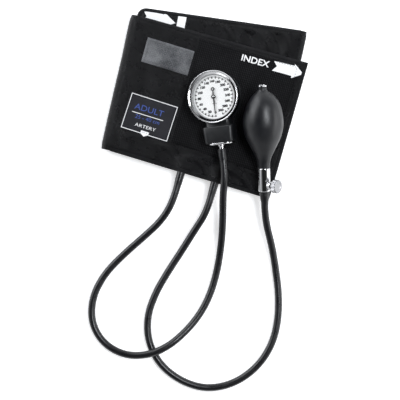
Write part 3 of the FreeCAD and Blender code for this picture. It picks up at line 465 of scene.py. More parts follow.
# points and faces of one flared end, in millimetres, from its mouth along toward
def sleevePoints(start, toward, outer, endOuter, inner, length=hose["endSleeve"], neck=0.62):
    outline = eased([(inner, 0.2), (inner, 0), (outer - 0.5, 0), (outer, 0.6), (outer, 2.2),
                     (outer - 0.25, 2.9), (outer - 0.1, 3.6), (0.5 * (outer + endOuter), neck * length),
                     (endOuter + 0.12, 0.86 * length), (endOuter + 0.02, length + 0.3)], 0.5)
    points, faces = turnedMesh(outline, 48)
    turn = Vector((0, 0, 1)).rotation_difference(toward).to_matrix()
    return [tuple(turn @ Vector(p) + start) for p in points], faces


hoseRadius = hose["diameter"] / 2
portEnds = [Vector(route[0]) / mm for route in (gaugeHoseRoute, bulbHoseRoute)]
gaugeEnd = Vector(gaugeHoseRoute[-1]) / mm
valveEnd = Vector(bulbHoseRoute[-1]) / mm
cuffWard = Vector((0, -1, 0))
portSleeves = [sleevePoints(end - hose["portSleeve"] * cuffWard, cuffWard, 4.5, hoseRadius, 2.0,
                            hose["portSleeve"], 0.7) for end in portEnds]
gaugeEnds = joined([portSleeves[0],
                    sleevePoints(gaugeEnd + hose["endSleeve"] * dialUp, -dialUp, 4.9, hoseRadius, 2.65)])
bulbEnds = joined([portSleeves[1],
                   sleevePoints(valveEnd - hose["endSleeve"] * toValve, toValve, 5.2, hoseRadius, 2.85)])
for name, (points, faces), node in (("gaugeHoseEnds", gaugeEnds, "gauge_hose_ends"),
                                    ("bulbHoseEnds", bulbEnds, "bulb_hose_ends")):
    piece = makePiece(name, points, faces, hoseRubber, slot="hose_rubber")
    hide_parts(node)
print("hoses made")


# cuff: one strip of cloth, folded in three layers

cuff = {
    "thick": 4.6, "gap": 0.8, "edgeThick": 1.5, "edgeBand": 7.0,
    "width": 146.0, "clothWidth": 0.147,              # across a layer, and the cloth map's in metres
    "topReach": 180, "blend": 14, "tailReach": 165.0,
    "rows": {"top": 150, "left": 20, "bottom": 36, "right": 14, "middle": 110}, "columns": 118,
    "leftFold": ((-82.0, -70.4), (-89.3, 72.2)),      # front and back end of each line
    "rightFold": ((86.7, -42.5), (78.4, 104.0)),
    "topEnd": ((93.2, -73.8), (94.0, 72.4)),
    "tail": ((-73.5, -60.0), (-91.2, 81.6)),
    "tailCorner": 9.0,
    "droop": 1.4,                                     # how far the unsupported front edge sinks
    "droopFade": (-44, 32), "droopAcross": (-60, 60),  # where it starts, and over how many millimetres
    "ports": (-2.0, 34.6), "portHump": 3.8, "portWide": 7.4, "portFade": (-50, 20),
    "topCreases": [                                   # from, to, half width, height
        ((-79, 62), (-76, -60), 6.0, -0.3), ((-70, 72), (-20, 62), 5.0, 0.3),
        ((-16, 70), (40, 70), 4.0, 0.25), ((-20, 22), (-66, 6), 8.0, 0.35),
        ((-74, 20), (-52, -2), 6.0, -0.3), ((-34, -50), (-4, -66), 3.4, 1.3),
        ((-12, -54), (18, -66), 3.4, -1.0), ((-2, -54), (30, -70), 3.2, 1.5),
        ((26, -55), (52, -68), 3.2, -1.1), ((40, -55), (72, -70), 3.4, 1.6),
        ((62, -54), (84, -62), 3.2, -0.9), ((-70, -52), (-30, -60), 4.2, 0.9),
        ((-84, -40), (-60, -62), 4.5, 1.1)],
    "middleCreases": [
        ((20, 92), (52, 74), 4.0, 1.5), ((38, 98), (64, 74), 3.2, -1.2),
        ((50, 100), (72, 80), 3.5, 1.4), ((-16, 88), (10, 76), 4.5, 1.1),
        ((-4, 90), (16, 78), 3.0, -0.9), ((6, 91), (34, 76), 3.0, -0.8)],
    "seam": 12.8,                                     # from the right fold's outside to its seam
}
topLow = 2 * (cuff["thick"] + cuff["gap"])
topHigh = topLow + cuff["thick"]
middleHigh = topLow - cuff["gap"]
middleLow = middleHigh - cuff["thick"]


def mixed(first, second, share):
    return tuple(a + (b - a) * share for a, b in zip(first, second))


# signed distance to a line, positive on its left
def lineDistance(spot, start, end):
    dx, dy = end[0] - start[0], end[1] - start[1]
    return (dx * (spot[1] - start[1]) - dy * (spot[0] - start[0])) / math.hypot(dx, dy)


def creaseHeight(spot, creases):
    height = 0.0
    for start, end, width, lift in creases:
        dx, dy = end[0] - start[0], end[1] - start[1]
        along = ((spot[0] - start[0]) * dx + (spot[1] - start[1]) * dy) / (dx * dx + dy * dy)
        bend = 0.12 * math.hypot(dx, dy) * math.sin(math.pi * min(max(along, 0), 1))
        across = lineDistance(spot, start, end) - bend
        taper = smoothStep(min(along + 0.25, 1.25 - along) * 2.2)
        height += lift * math.exp(-(across / width) ** 2) * taper
    return height


def topEdgeDistance(spot):
    (frontL, backL), (frontR, backR) = cuff["leftFold"], cuff["topEnd"]
    return min(lineDistance(spot, backR, backL), lineDistance(spot, frontR, backR),
               lineDistance(spot, frontL, frontR))


# how far a layer's face draws in towards its edge
def thinning(distance):
    return 0.5 * (cuff["thick"] - cuff["edgeThick"]) * (1 - smoothStep(distance / cuff["edgeBand"])) ** 1.5


# how much of the swelling over the hose ends reaches a plan point, from 0 to 1
def overPorts(spot):
    near = sum(math.exp(-((spot[0] - port) / cuff["portWide"]) ** 2) for port in cuff["ports"])
    start, run = cuff["portFade"]
    return min(near, 1) * smoothStep((start - spot[1]) / run)


# the top layer hangs over the layers below it at the front: it sinks there, or rides over a hose end
def sink(spot):
    (front, frontRun), (left, leftRun) = cuff["droopFade"], cuff["droopAcross"]
    low = cuff["droop"] * smoothStep((front - spot[1]) / frontRun) * smoothStep((spot[0] - left) / leftRun)
    return low * (1 - overPorts(spot)) - cuff["portHump"] * overPorts(spot)


# height of the top layer's upper face over a plan point
def topSurface(x, y):
    spot = (x, y)
    soft = 0.22 * noise.noise((x * 0.035, y * 0.035, 1.3)) + 0.10 * noise.noise((x * 0.11, y * 0.11, 4.1))
    creases = creaseHeight(spot, cuff["topCreases"])
    return topHigh - thinning(topEdgeDistance(spot)) - sink(spot) + creases + soft


def topUnder(x, y):
    return topLow + thinning(topEdgeDistance((x, y))) - max(sink((x, y)), 0)


def middleSurface(x, y):
    spot = (x, y)
    (frontR, backR), (frontT, backT) = cuff["rightFold"], cuff["tail"]
    edge = min(lineDistance(spot, backR, backT), lineDistance(spot, backT, frontT))
    seam = lineDistance(spot, backR, frontR) + cuff["seam"] - middleHigh / 2
    groove = 0.35 * math.exp(-(seam / 1.1) ** 2)
    soft = 0.25 * noise.noise((x * 0.04, y * 0.04, 7.7))
    visible = smoothStep((y - 60) / 14)
    lift = (creaseHeight(spot, cuff["middleCreases"]) + soft) * visible
    return middleHigh - thinning(edge) - groove + min(lift, 0.5 * cuff["gap"] + 1.6 * visible)


# (kind, share) for each row along the strip, from the top layer's free edge to the tail
def stripRows():
    rows = []
    for kind, parts in cuff["rows"].items():
        own = range(1, parts) if kind in ("left", "right") else range(parts + 1)
        rows += [(kind, i / parts) for i in own]
    return rows


# upper and lower point of the strip at a row and a share across it
def stripPoint(kind, share, t):
    leftAt = mixed(*cuff["leftFold"], t)
    rightAt = mixed(*cuff["rightFold"], t)
    thin = thinning(min(t, 1 - t) * cuff["width"])
    if kind == "top":
        x, y = mixed(mixed(*cuff["topEnd"], t), leftAt, share)
        blendIn = smoothStep((share * cuff["topReach"] - (cuff["topReach"] - cuff["blend"])) / cuff["blend"])
        high = topSurface(x, y) * (1 - blendIn) + (topHigh - thin) * blendIn
        low = topUnder(x, y) * (1 - blendIn) + (topLow + thin) * blendIn
        return (x, y, high), (x, y, low)
    if kind == "bottom":
        x, y = mixed(leftAt, rightAt, share)
        return (x, y, 0.0 + thin * 0.3), (x, y, cuff["thick"] - thin)
    if kind == "middle":
        left = (1 - share) * cuff["tailReach"]
        corner = cuff["tailCorner"]
        cut = corner - math.sqrt(max(corner ** 2 - max(corner - left, 0) ** 2, 0))
        t2 = t * (1 - cut / cuff["width"])
        x, y = mixed(mixed(*cuff["rightFold"], t2), mixed(*cuff["tail"], t2), share)
        return (x, y, middleSurface(x, y)), (x, y, middleLow + thin)
    fold, at, outer, side = cuff["leftFold"], leftAt, topHigh / 2, -1
    if kind == "right":
        fold, at, outer, side = cuff["rightFold"], rightAt, middleHigh / 2, 1
    angle = math.pi * share
    lean = Vector((fold[1][1] - fold[0][1], fold[0][0] - fold[1][0], 0)).normalized() * side
    radial = lean * math.sin(angle) + Vector((0, 0, -side * math.cos(angle)))
    bulge = 1 + (0.05 * noise.noise((t * 5.0, share * 2.0, 3.3)) if kind == "left" else 0)
    outwards = radial * (outer - 0.45 * thin) * bulge
    inwards = radial * (outer - cuff["thick"] + thin)
    base = Vector((at[0], at[1], outer))
    if kind == "right":
        base += lean * 2.0 * smoothStep((t - 0.68) / 0.14) * math.sin(angle)
    return tuple(base + outwards), tuple(base + inwards)


def makeCuffCover():
    rows = stripRows()
    columns = cuff["columns"]
    upper, lower = [], []
    for kind, share in rows:
        for j in range(columns + 1):
            high, low = stripPoint(kind, share, j / columns)
            upper.append(high)
            lower.append(low)
    count = len(upper)
    wide = columns + 1
    faces = []
    for i in range(len(rows) - 1):
        for j in range(columns):
            a = i * wide + j
            faces.append((a, a + 1, a + wide + 1, a + wide))
            faces.append((count + a, count + a + wide, count + a + wide + 1, count + a + 1))
    for i in range(len(rows) - 1):
        a, b = i * wide, i * wide + columns
        faces.append((a, a + wide, count + a + wide, count + a))
        faces.append((b, count + b, count + b + wide, b + wide))
    last = (len(rows) - 1) * wide
    for j in range(columns):
        faces.append((j, count + j, count + j + 1, j + 1))
        faces.append((last + j, last + j + 1, count + last + j + 1, count + last + j))
    piece = makePiece("cuffCover", upper + lower, faces, nylon, slot="nylon")
    along = [0.0]
    for i in range(1, len(rows)):
        middle = i * wide + columns // 2
        along.append(along[-1] + math.dist(upper[middle], upper[middle - wide]))
    places = np.array([(along[(k % count) // wide] * mm, (k % count) % wide / columns * cuff["clothWidth"])
                       for k in range(2 * count)])
    layer = piece.data.uv_layers.new(name="cloth")
    corners = np.empty(len(piece.data.loops), int)
    piece.data.loops.foreach_get("vertex_index", corners)
    layer.data.foreach_set("uv", places[corners].ravel())
    return piece, along[-1] * mm


# lays the thread directions of a flat sewn-on piece along the plan
def addClothMap(piece, name="cloth"):
    layer = piece.data.uv_layers.new(name=name)
    for loop in piece.data.loops:
        layer.data[loop.index].uv = piece.data.vertices[loop.vertex_index].co.xy


# a four-cornered sheet that follows the cloth under it, with a soft rounded border
def sewnSheet(name, corners, surface, thick, material, slot, step=1.2, ribs=None, edge=0.5, lift=0.02):
    frontL, frontR, backR, backL = corners
    nx = max(2, int(math.dist(frontL, frontR) / step))
    stepBack = 2.4 if ribs else step                  # ribs run front to back, so few cells do there
    ny = max(2, int(math.dist(frontL, backL) / stepBack))
    sizeX, sizeY = math.dist(frontL, frontR), math.dist(frontL, backL)
    upper, lower = [], []
    for i in range(nx + 1):
        for j in range(ny + 1):
            u, v = i / nx, j / ny
            x, y = mixed(mixed(frontL, frontR, u), mixed(backL, backR, u), v)
            fromRim = min(u * sizeX, (1 - u) * sizeX, v * sizeY, (1 - v) * sizeY)
            full = thick * (0.35 + 0.65 * smoothStep(fromRim / edge))
            if ribs:
                full += ribs[1] * math.sin(2 * math.pi * u * sizeX / ribs[0]) * smoothStep(fromRim / 2.0)
            ground = surface(x, y) + lift
            upper.append((x, y, ground + full))
            lower.append((x, y, ground))
    wide = ny + 1
    count = len(upper)
    faces = []
    for i in range(nx):
        for j in range(ny):
            a = i * wide + j
            faces.append((a, a + wide, a + wide + 1, a + 1))
            faces.append((count + a, count + a + 1, count + a + wide + 1, count + a + wide))
    rim = [i * wide for i in range(nx + 1)] + [nx * wide + j for j in range(1, ny + 1)]
    rim += [i * wide + ny for i in range(nx - 1, -1, -1)] + [j for j in range(ny - 1, 0, -1)]
    for a, b in zip(rim, rim[1:] + rim[:1]):
        faces.append((a, count + a, count + b, b))
    piece = makePiece(name, upper + lower, faces, material, slot=slot)
    addClothMap(piece)
    return piece


# one stitch: a small plump thread that dips into the cloth at both ends
def stitchMesh(start, end, surface, width=0.42, lift=0.12):
    dx, dy = end[0] - start[0], end[1] - start[1]
    length = math.hypot(dx, dy)
    sx, sy = -dy / length, dx / length
    points, faces = [], []
    sides = 6
    for share, size, rise in ((0.0, 0.25, -0.12), (0.18, 0.8, 0.05), (0.5, 1.0, 0.12), (0.82, 0.8, 0.05),
                              (1.0, 0.25, -0.12)):
        x, y = start[0] + dx * share, start[1] + dy * share
        z = surface(x, y) + lift + rise
        for k in range(sides):
            angle = 2 * math.pi * k / sides
            side, up = math.cos(angle) * width / 2 * size, math.sin(angle) * width / 2 * size
            points.append((x + sx * side, y + sy * side, z + up))
    last = len(points) - sides
    for ring in range(0, last, sides):
        for k in range(sides):
            a, b = ring + k, ring + (k + 1) % sides
            faces.append((a, b, b + sides, a + sides))
    faces.append(tuple(range(sides - 1, -1, -1)))
    faces.append(tuple(range(last, last + sides)))
    return points, faces


# stitches along a path of straight runs
def stitchRow(path, pitch, surface, gap=0.25, **looks):
    parts = []
    for start, end in zip(path, path[1:]):
        length = math.dist(start, end)
        count = max(1, round(length / pitch))
        for i in range(count):
            parts.append(stitchMesh(mixed(start, end, (i + gap / 2) / count),
                                    mixed(start, end, (i + 1 - gap / 2) / count), surface, **looks))
    return parts


def zigzagRow(start, end, swing, pitch, surface, **looks):
    dx, dy = end[0] - start[0], end[1] - start[1]
    length = math.hypot(dx, dy)
    sx, sy = -dy / length * swing / 2, dx / length * swing / 2
    count = max(2, round(length / pitch))
    turns = []
    for i in range(count + 1):
        x, y = mixed(start, end, i / count)
        side = 1 if i % 2 else -1
        turns.append((x + sx * side, y + sy * side))
    return [stitchMesh(a, b, surface, **looks) for a, b in zip(turns, turns[1:])]


# a four-cornered outline drawn in by the same amount on every side
def inset(corners, amount):
    centre = [sum(c[k] for c in corners) / 4 for k in (0, 1)]
    drawn = []
    for x, y in corners:
        dx, dy = centre[0] - x, centre[1] - y
        drawn.append((x + math.copysign(amount, dx), y + math.copysign(amount, dy)))
    return drawn


coverPiece, stripLength = makeCuffCover()
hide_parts("cuff_cover")
print("cuff strip is", round(stripLength, 3), "m long")


# sewn-on parts: loop pile, grey patch, label, binding, seams

sewn = {
    "loop": ((-21.0, -45.0), (86.0, -51.6), (86.2, 66.6), (-21.0, 66.8)),
    "loopThick": 0.6, "ribPitch": 1.9, "ribHeight": 0.14,
    "patch": ((-72.9, 27.2), (-22.6, 26.0), (-22.4, 52.2), (-73.0, 53.3)),
    "patchThick": 0.7,
    "label": ((-75.6, -44.8), (-24.0, -46.4), (-22.6, -7.4), (-74.0, -5.6)),
    "labelThick": 0.35,
    "bindingWidth": 3.4, "bindingThick": 0.32, "bindingStitchIn": 2.4,
    "stitch": 2.9,
}
loopPanel = sewnSheet("loopPanel", sewn["loop"], topSurface, sewn["loopThick"], loopPile, "loop_pile",
                      step=0.35, ribs=(sewn["ribPitch"], sewn["ribHeight"]), edge=1.4)
addClothMap(loopPanel, "rows")
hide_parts("loop_panel")
greyPatch = sewnSheet("greyPatch", sewn["patch"], topSurface, sewn["patchThick"], greyTape, "grey_tape",
                      edge=0.8)
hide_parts("tape_patch")
sizeLabel = sewnSheet("sizeLabel", sewn["label"], topSurface, sewn["labelThick"], labelSatin, "woven_label",
                      edge=0.6)
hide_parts("size_label")


def onLoop(x, y):
    return topSurface(x, y) + sewn["loopThick"]


def onPatch(x, y):
    return topSurface(x, y) + sewn["patchThick"]


def onLabel(x, y):
    return topSurface(x, y) + sewn["labelThick"]


loopLine = inset(sewn["loop"], 1.8)
seams = stitchRow(loopLine + loopLine[:1], sewn["stitch"], onLoop)
labelLine = inset(sewn["label"], 2.4)
seams += stitchRow(labelLine + labelLine[:1], 2.2, onLabel, width=0.3, lift=0.05)
seamStart, seamEnd = cuff["rightFold"][1], (cuff["rightFold"][1][0] + 1.75, 73.0)
seamShift = middleHigh / 2 - cuff["seam"]
seams += stitchRow([(seamStart[0] + seamShift, seamStart[1] - 1.2), (seamEnd[0] + seamShift, seamEnd[1])],
                   2.4, middleSurface)
points, faces = joined(seams)
makePiece("seamStitches", points, faces, blackThread, slot="nylon")

zigzags = []
patchLine = inset(sewn["patch"], 2.6)
for start, end in zip(patchLine, patchLine[1:] + patchLine[:1]):
    zigzags += zigzagRow(start, end, 2.6, 1.15, onPatch, width=0.42, lift=0.08)
points, faces = joined(zigzags)
makePiece("patchStitches", points, faces, greyThread, slot="grey_tape")


# tape folded over an edge: follows the path, covers a band above and below it
def bindingStrip(name, path, inwards, upper, lower):
    width, thick = sewn["bindingWidth"], sewn["bindingThick"]
    outline = [(width, 0.02, 1), (width - 0.25, thick, 1), (0.5 * width, thick, 1), (0.3, thick * 0.8, 1),
               (-0.45, 0.0, 0.45), (-0.5, 0.0, -0.45), (0.3, thick * 0.8, -1), (0.5 * width, thick, -1),
               (width - 0.25, thick, -1), (width, 0.02, -1)]
    points, faces = [], []
    for spot, inward in zip(path, inwards):
        for reach, rise, side in outline:
            x, y = spot[0] + inward[0] * reach, spot[1] + inward[1] * reach
            inner = (spot[0] + inward[0] * max(reach, 0.3), spot[1] + inward[1] * max(reach, 0.3))
            high, low = upper(*inner), lower(*inner)
            middle = (high + low) / 2
            z = middle + ((high - middle) * side + rise if side > 0 else (middle - low) * side - rise)
            points.append((x, y, max(z, 0.02)))
    rows = len(outline)
    for i in range(len(path) - 1):
        for j in range(rows - 1):
            a = i * rows + j
            faces.append((a, a + rows, a + rows + 1, a + 1))
    piece = makePiece(name, points, faces, bindingTape, slot="binding_tape")
    addClothMap(piece)
    return piece


def middleUnder(x, y):
    return middleLow + 0.6


# points along an outline with inward directions that turn smoothly at its corners
def edgePath(corners, step=2.0):
    spots, inwards = [], []
    runs = list(zip(corners, corners[1:]))
    for index, (start, end) in enumerate(runs):
        length = math.dist(start, end)
        inward = Vector((-(end[1] - start[1]), end[0] - start[0])) / length
        count = max(2, int(length / step))
        for i in range(count + (index == len(runs) - 1)):
            spots.append(mixed(start, end, i / count))
            inwards.append(inward)
        if index < len(runs) - 1:
            after = runs[index + 1]
            turned = Vector((-(after[1][1] - after[0][1]), after[1][0] - after[0][0])).normalized()
            for share in (0.25, 0.5, 0.75):
                spots.append(end)
                inwards.append((inward * (1 - share) + turned * share).normalized())
    return spots, inwards


frontRun = [mixed(cuff["leftFold"][0], cuff["topEnd"][0], 0.015), cuff["topEnd"][0], cuff["topEnd"][1],
            mixed(cuff["leftFold"][1], cuff["topEnd"][1], 0.015)]
binding = bindingStrip("topBinding", *edgePath(frontRun), topSurface, topUnder)
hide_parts("edge_binding")
tailFront, tailBack = [Vector(end) for end in cuff["tail"]]
foldBack = cuff["rightFold"][1]
towardFold = (Vector(foldBack) - tailBack).normalized()
towardFront = (tailFront - tailBack).normalized()
reach, cornerSteps = cuff["tailCorner"], 6
cornerRun = [foldBack]
for step in range(cornerSteps + 1):
    angle = math.radians(90 * step / cornerSteps)
    cornerRun.append(tuple(tailBack + towardFold * reach * (1 - math.sin(angle))
                           + towardFront * reach * (1 - math.cos(angle))))
bindingStrip("tailBinding", *edgePath(cornerRun), middleSurface, middleUnder)


# stitches along an outline's tape, with no two turning points closer than least
def bindingStitches(corners, surface, least=1.4):
    path = []
    for spot, inward in zip(*edgePath(corners, sewn["stitch"])):
        place = tuple(s + i * sewn["bindingStitchIn"] for s, i in zip(spot, inward))
        if not path or math.dist(place, path[-1]) > least:
            path.append(place)
    return stitchRow(path, sewn["stitch"], lambda x, y: surface(x, y) + 0.3)


points, faces = joined(bindingStitches(frontRun, topSurface) + bindingStitches(cornerRun, middleSurface))
makePiece("bindingStitches", points, faces, blackThread, slot="binding_tape")
print("cuff dressed")


# prints: flat ink shapes laid on the cloth

prints = {
    "word": "INDEX", "wordPlace": (26.4, 56.2), "wordHeight": 6.7, "wordWidth": 29.6,
    "arrow": [(59.4, 65.0), (81.4, 65.8), (81.7, 67.6), (92.6, 60.1), (81.2, 52.6), (81.0, 54.9),
              (60.1, 54.8), (63.9, 60.5)],
    "backArrow": [(-85.2, 79.6), (-63.6, 81.4), (-63.0, 83.2), (-49.8, 75.9), (-63.0, 67.5), (-63.4, 69.6),
                  (-84.6, 68.6), (-80.6, 74.4)],
    "backMark": [(-48.9, 84.2), (-40.3, 85.0), (-38.6, 66.0), (-47.4, 65.6)],
}


# a filled outline laid on the cloth
def inkShape(name, outline, surface, material, film=0.10):
    mesh = bpy.data.meshes.new(name)
    mesh.from_pydata([(x, y, 0) for x, y in outline], [], [tuple(range(len(outline)))])
    return inkMesh(name, mesh, surface, material, film)


# cuts a flat mesh into small cells, lays it on the cloth and gives it a little thickness
def inkMesh(name, mesh, surface, material, film, step=1.5):
    work = bmesh.new()
    work.from_mesh(mesh)
    bpy.data.meshes.remove(mesh)
    bmesh.ops.triangulate(work, faces=work.faces)
    low = [min(v.co[k] for v in work.verts) for k in (0, 1)]
    high = [max(v.co[k] for v in work.verts) for k in (0, 1)]
    for axis in (0, 1):
        cuts = int((high[axis] - low[axis]) / step)
        for i in range(1, cuts + 1):
            place = [0.0, 0.0, 0.0]
            place[axis] = low[axis] + (high[axis] - low[axis]) * i / (cuts + 1)
            normal = [0.0, 0.0, 0.0]
            normal[axis] = 1.0
            bmesh.ops.bisect_plane(work, geom=work.verts[:] + work.edges[:] + work.faces[:],
                                   plane_co=place, plane_no=normal)
    bmesh.ops.recalc_face_normals(work, faces=work.faces)
    for face in work.faces:
        if face.normal.z < 0:
            face.normal_flip()
    grown = bmesh.ops.extrude_face_region(work, geom=work.faces[:])
    bottom = [g for g in grown["geom"] if isinstance(g, bmesh.types.BMVert)]
    top = set(work.verts) - set(bottom)
    for vertex in work.verts:
        rise = film if vertex in top else -0.25
        vertex.co.z = surface(vertex.co.x, vertex.co.y) + rise
    bmesh.ops.recalc_face_normals(work, faces=work.faces)
    done = bpy.data.meshes.new(name)
    for vertex in work.verts:
        vertex.co *= mm
    work.to_mesh(done)
    work.free()
    piece = bpy.data.objects.new(name, done)
    bpy.context.scene.collection.objects.link(piece)
    done.materials.append(material)
    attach(piece, "monitor")
    return piece


# a word as a flat mesh, its lower left at the origin, with its own width and height
def wordMesh(name, text, bold=0.0):
    letters = bpy.data.curves.new(name, "FONT")
    letters.body = text
    letters.offset = bold
    letters.resolution_u = 4
    holder = bpy.data.objects.new(name, letters)
    bpy.context.scene.collection.objects.link(holder)
    bpy.context.view_layer.update()
    mesh = bpy.data.meshes.new_from_object(holder)
    bpy.data.objects.remove(holder)
    bpy.data.curves.remove(letters)
    low = Vector((min(v.co.x for v in mesh.vertices), min(v.co.y for v in mesh.vertices), 0))
    high = Vector((max(v.co.x for v in mesh.vertices), max(v.co.y for v in mesh.vertices), 0))
    for vertex in mesh.vertices:
        vertex.co -= low
    return mesh, (high - low).x, (high - low).y


def printWord(name, text, place, width, height, surface, material, bold=0.0, turn=0.0, film=0.10):
    mesh, wide, tall = wordMesh(name, text, bold)
    turned = Matrix.Rotation(math.radians(turn), 3, "Z")
    for vertex in mesh.vertices:
        flat = Vector((vertex.co.x * width / wide, vertex.co.y * height / tall, 0))
        vertex.co = turned @ flat + Vector((place[0], place[1], 0))
    return inkMesh(name, mesh, surface, material, film)


# the loop panel's face where it lies, and the cloth's elsewhere
def printSurface(x, y):
    frontL, frontR, _, backL = sewn["loop"]
    over = min(x - frontL[0], frontR[0] - x, y - frontL[1], backL[1] - y)
    return topSurface(x, y) + (sewn["loopThick"] + sewn["ribHeight"]) * smoothStep(over + 1.2)


printWord("wordIndex", prints["word"], prints["wordPlace"], prints["wordWidth"], prints["wordHeight"],
          printSurface, whiteInk, bold=0.02, turn=0.6)
inkShape("indexArrow", prints["arrow"], printSurface, whiteInk)
inkShape("backArrow", prints["backArrow"], middleSurface, whiteInk)
inkShape("backMark", prints["backMark"], middleSurface, whiteInk)

labelPrint = {
    "borderIn": 0.8, "borderWide": 0.7,
    "size": ("ADULT", (-66.8, -21.6), 31.0, 6.0), "range": ("25 - 40 cm", (-63.5, -30.6), 26.0, 3.9),
    "rule": [(-68.0, -25.4), (-34.4, -26.2), (-34.4, -25.5), (-68.0, -24.7)],
    "word": ("ARTERY", (-61.6, -38.6), 22.4, 3.3),
    "arrow": [(-53.6, -41.4), (-45.0, -41.7), (-45.2, -44.6), (-49.6, -47.2), (-53.8, -44.4)],
}
outside = inset(sewn["label"], labelPrint["borderIn"])
inside = inset(sewn["label"], labelPrint["borderIn"] + labelPrint["borderWide"])
for index in range(4):
    after = (index + 1) % 4
    inkShape("labelBorder%d" % index, [outside[index], outside[after], inside[after], inside[index]],
             onLabel, whiteInk, film=0.06)
for key, ink in (("size", blueInk), ("range", blueInk), ("word", whiteInk)):
    text, place, width, height = labelPrint[key]
    printWord("label" + key.capitalize(), text, place, width, height, onLabel, ink,
              turn=-1.2, film=0.06)
inkShape("labelRule", labelPrint["rule"], onLabel, whiteInk, film=0.06)
inkShape("arteryArrow", labelPrint["arrow"], onLabel, whiteInk, film=0.08)
print("prints laid")


# gauge: bezel, lens, dial print, pointer hub

gauge = {
    "bezel": [(26.05, -2.5), (26.7, -2.5), (27.0, -2.2), (27.0, 3.4), (26.85, 4.5), (26.5, 5.15),
              (26.15, 5.4), (25.8, 5.25), (25.5, 5.0), (25.4, 4.6), (25.4, -0.45), (26.05, -0.45)],
    "band": [(25.45, 4.85), (24.9, 4.5), (23.2, 3.1), (22.95, 2.8), (22.95, 2.4), (25.4, 2.4), (25.4, 4.7)],
    "paintedReflectionSide": (-0.62, 0.78), "bandReach": 0.024,  # where the band's painted reflection is brightest, and how far it fades into painted shade
    "lens": [(25.2, 1.9), (25.2, 2.35), (22.9, 2.35), (22.7, 2.6), (22.2, 2.85), (17.0, 3.0), (9.0, 3.1),
             (0.0, 3.15), (0.0, 2.65), (9.0, 2.6), (17.0, 2.5), (22.6, 2.2), (24.4, 1.9)],
    "step": 2, "boldStep": 10, "numberStep": 20, "top": 300, "sweep": 337.5,
    "rim": 20.7, "thinTick": (19.5, 0.3), "boldTick": (18.5, 1.0), "numberAt": 16.0, "numberHeight": 2.7,
    "numberStretch": 1.16, "numberBold": 0.075,
    "unitAt": 7.6, "unitHeight": 1.6,
    "hub": [(0.0, 2.32), (0.7, 2.3), (1.15, 2.1), (1.3, 1.7), (1.3, 1.2)],
    "neck": [(2.0, -49.1), (3.9, -49.2), (4.05, -49.6), (3.9, -50.1), (2.75, -50.3), (2.6, -51.2),
             (2.85, -51.6), (2.6, -52.0), (2.7, -52.8), (2.4, -53.3)],
}
bezel = turnedPiece("bezelRing", gauge["bezel"], chrome, gaugeFrame, 0.25, 160, True, slot="chrome")
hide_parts("bezel")
# the bezel band gets a painted reflection on this side of the dial and painted shade on the opposite side
paintedReflectionSide = gauge["paintedReflectionSide"][0] * dialUp.cross(dialOut) + gauge["paintedReflectionSide"][1] * dialUp
bandWithPaintedReflection = bandMaterial("bezelBandPaintedReflection", Vector(joints["pointer_turn"]["pos_m"]), paintedReflectionSide,
                         gauge["bandReach"])
turnedPiece("bezelBand", gauge["band"], bandWithPaintedReflection, gaugeFrame, 0.1, 160, True, slot="chrome")
lens = turnedPiece("lensDome", gauge["lens"], clearLens, gaugeFrame, 0.2, 128, slot="clear_lens")
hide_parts("lens")


# a thin raised bar on the dial, pointing outward at an angle from six o'clock, clockwise
def bar(inner, outer, width, angle, low=0.01, high=0.05):
    direction = Vector((-math.sin(angle), -math.cos(angle)))
    side = Vector((direction.y, -direction.x)) * width / 2
    corners = [direction * inner - side, direction * outer - side, direction * outer + side,
               direction * inner + side]
    points = [(c.x, c.y, low) for c in corners] + [(c.x, c.y, high) for c in corners]
    return points, [(3, 2, 1, 0), (4, 5, 6, 7), (0, 1, 5, 4), (1, 2, 6, 5), (2, 3, 7, 6), (3, 0, 4, 7)]


def makeDialPrint():
    parts = []
    values = range(0, gauge["top"] + 1, gauge["step"])
    for value in values:
        angle = math.radians(gauge["sweep"] * value / gauge["top"])
        start, width = gauge["boldTick"] if value % gauge["boldStep"] == 0 else gauge["thinTick"]
        parts.append(bar(start, gauge["rim"], width, angle))
    for value in range(0, gauge["top"] + 1, gauge["numberStep"]):
        angle = math.radians(gauge["sweep"] * value / gauge["top"])
        mesh, wide, tall = wordMesh("number", str(value), gauge["numberBold"])
        size = gauge["numberHeight"] / tall
        reach = gauge["numberAt"] - 0.5 * (wide * size - gauge["numberHeight"]) * abs(math.sin(angle))
        centre = Vector((-math.sin(angle), -math.cos(angle))) * reach
        shift = centre - Vector((0, tall * size / 2))
        points = [((v.co.x - wide / 2) * size * gauge["numberStretch"] + centre.x,
                   v.co.y * size + shift.y, 0.05) for v in mesh.vertices]
        parts.append((points, [list(p.vertices) for p in mesh.polygons]))
        bpy.data.meshes.remove(mesh)
    mesh, wide, tall = wordMesh("unit", "mmHg")
    size = gauge["unitHeight"] / tall
    points = [(v.co.x * size - wide * size / 2, v.co.y * size - gauge["unitAt"], 0.05) for v in mesh.vertices]
    parts.append((points, [list(p.vertices) for p in mesh.polygons]))
    bpy.data.meshes.remove(mesh)
    points, faces = joined(parts)
    return makePiece("dialPrint", points, faces, dialInk, slot="dial_paint", place=gaugeFrame, smooth=False)


makeDialPrint()
turnedPiece("pointerHub", gauge["hub"], chrome, gaugeFrame, 0.2, 48, body="pointer", slot="pointer_paint")
turnedPiece("barbNeck", gauge["neck"], chrome, drumFrame, 0.25, 64, slot="chrome")

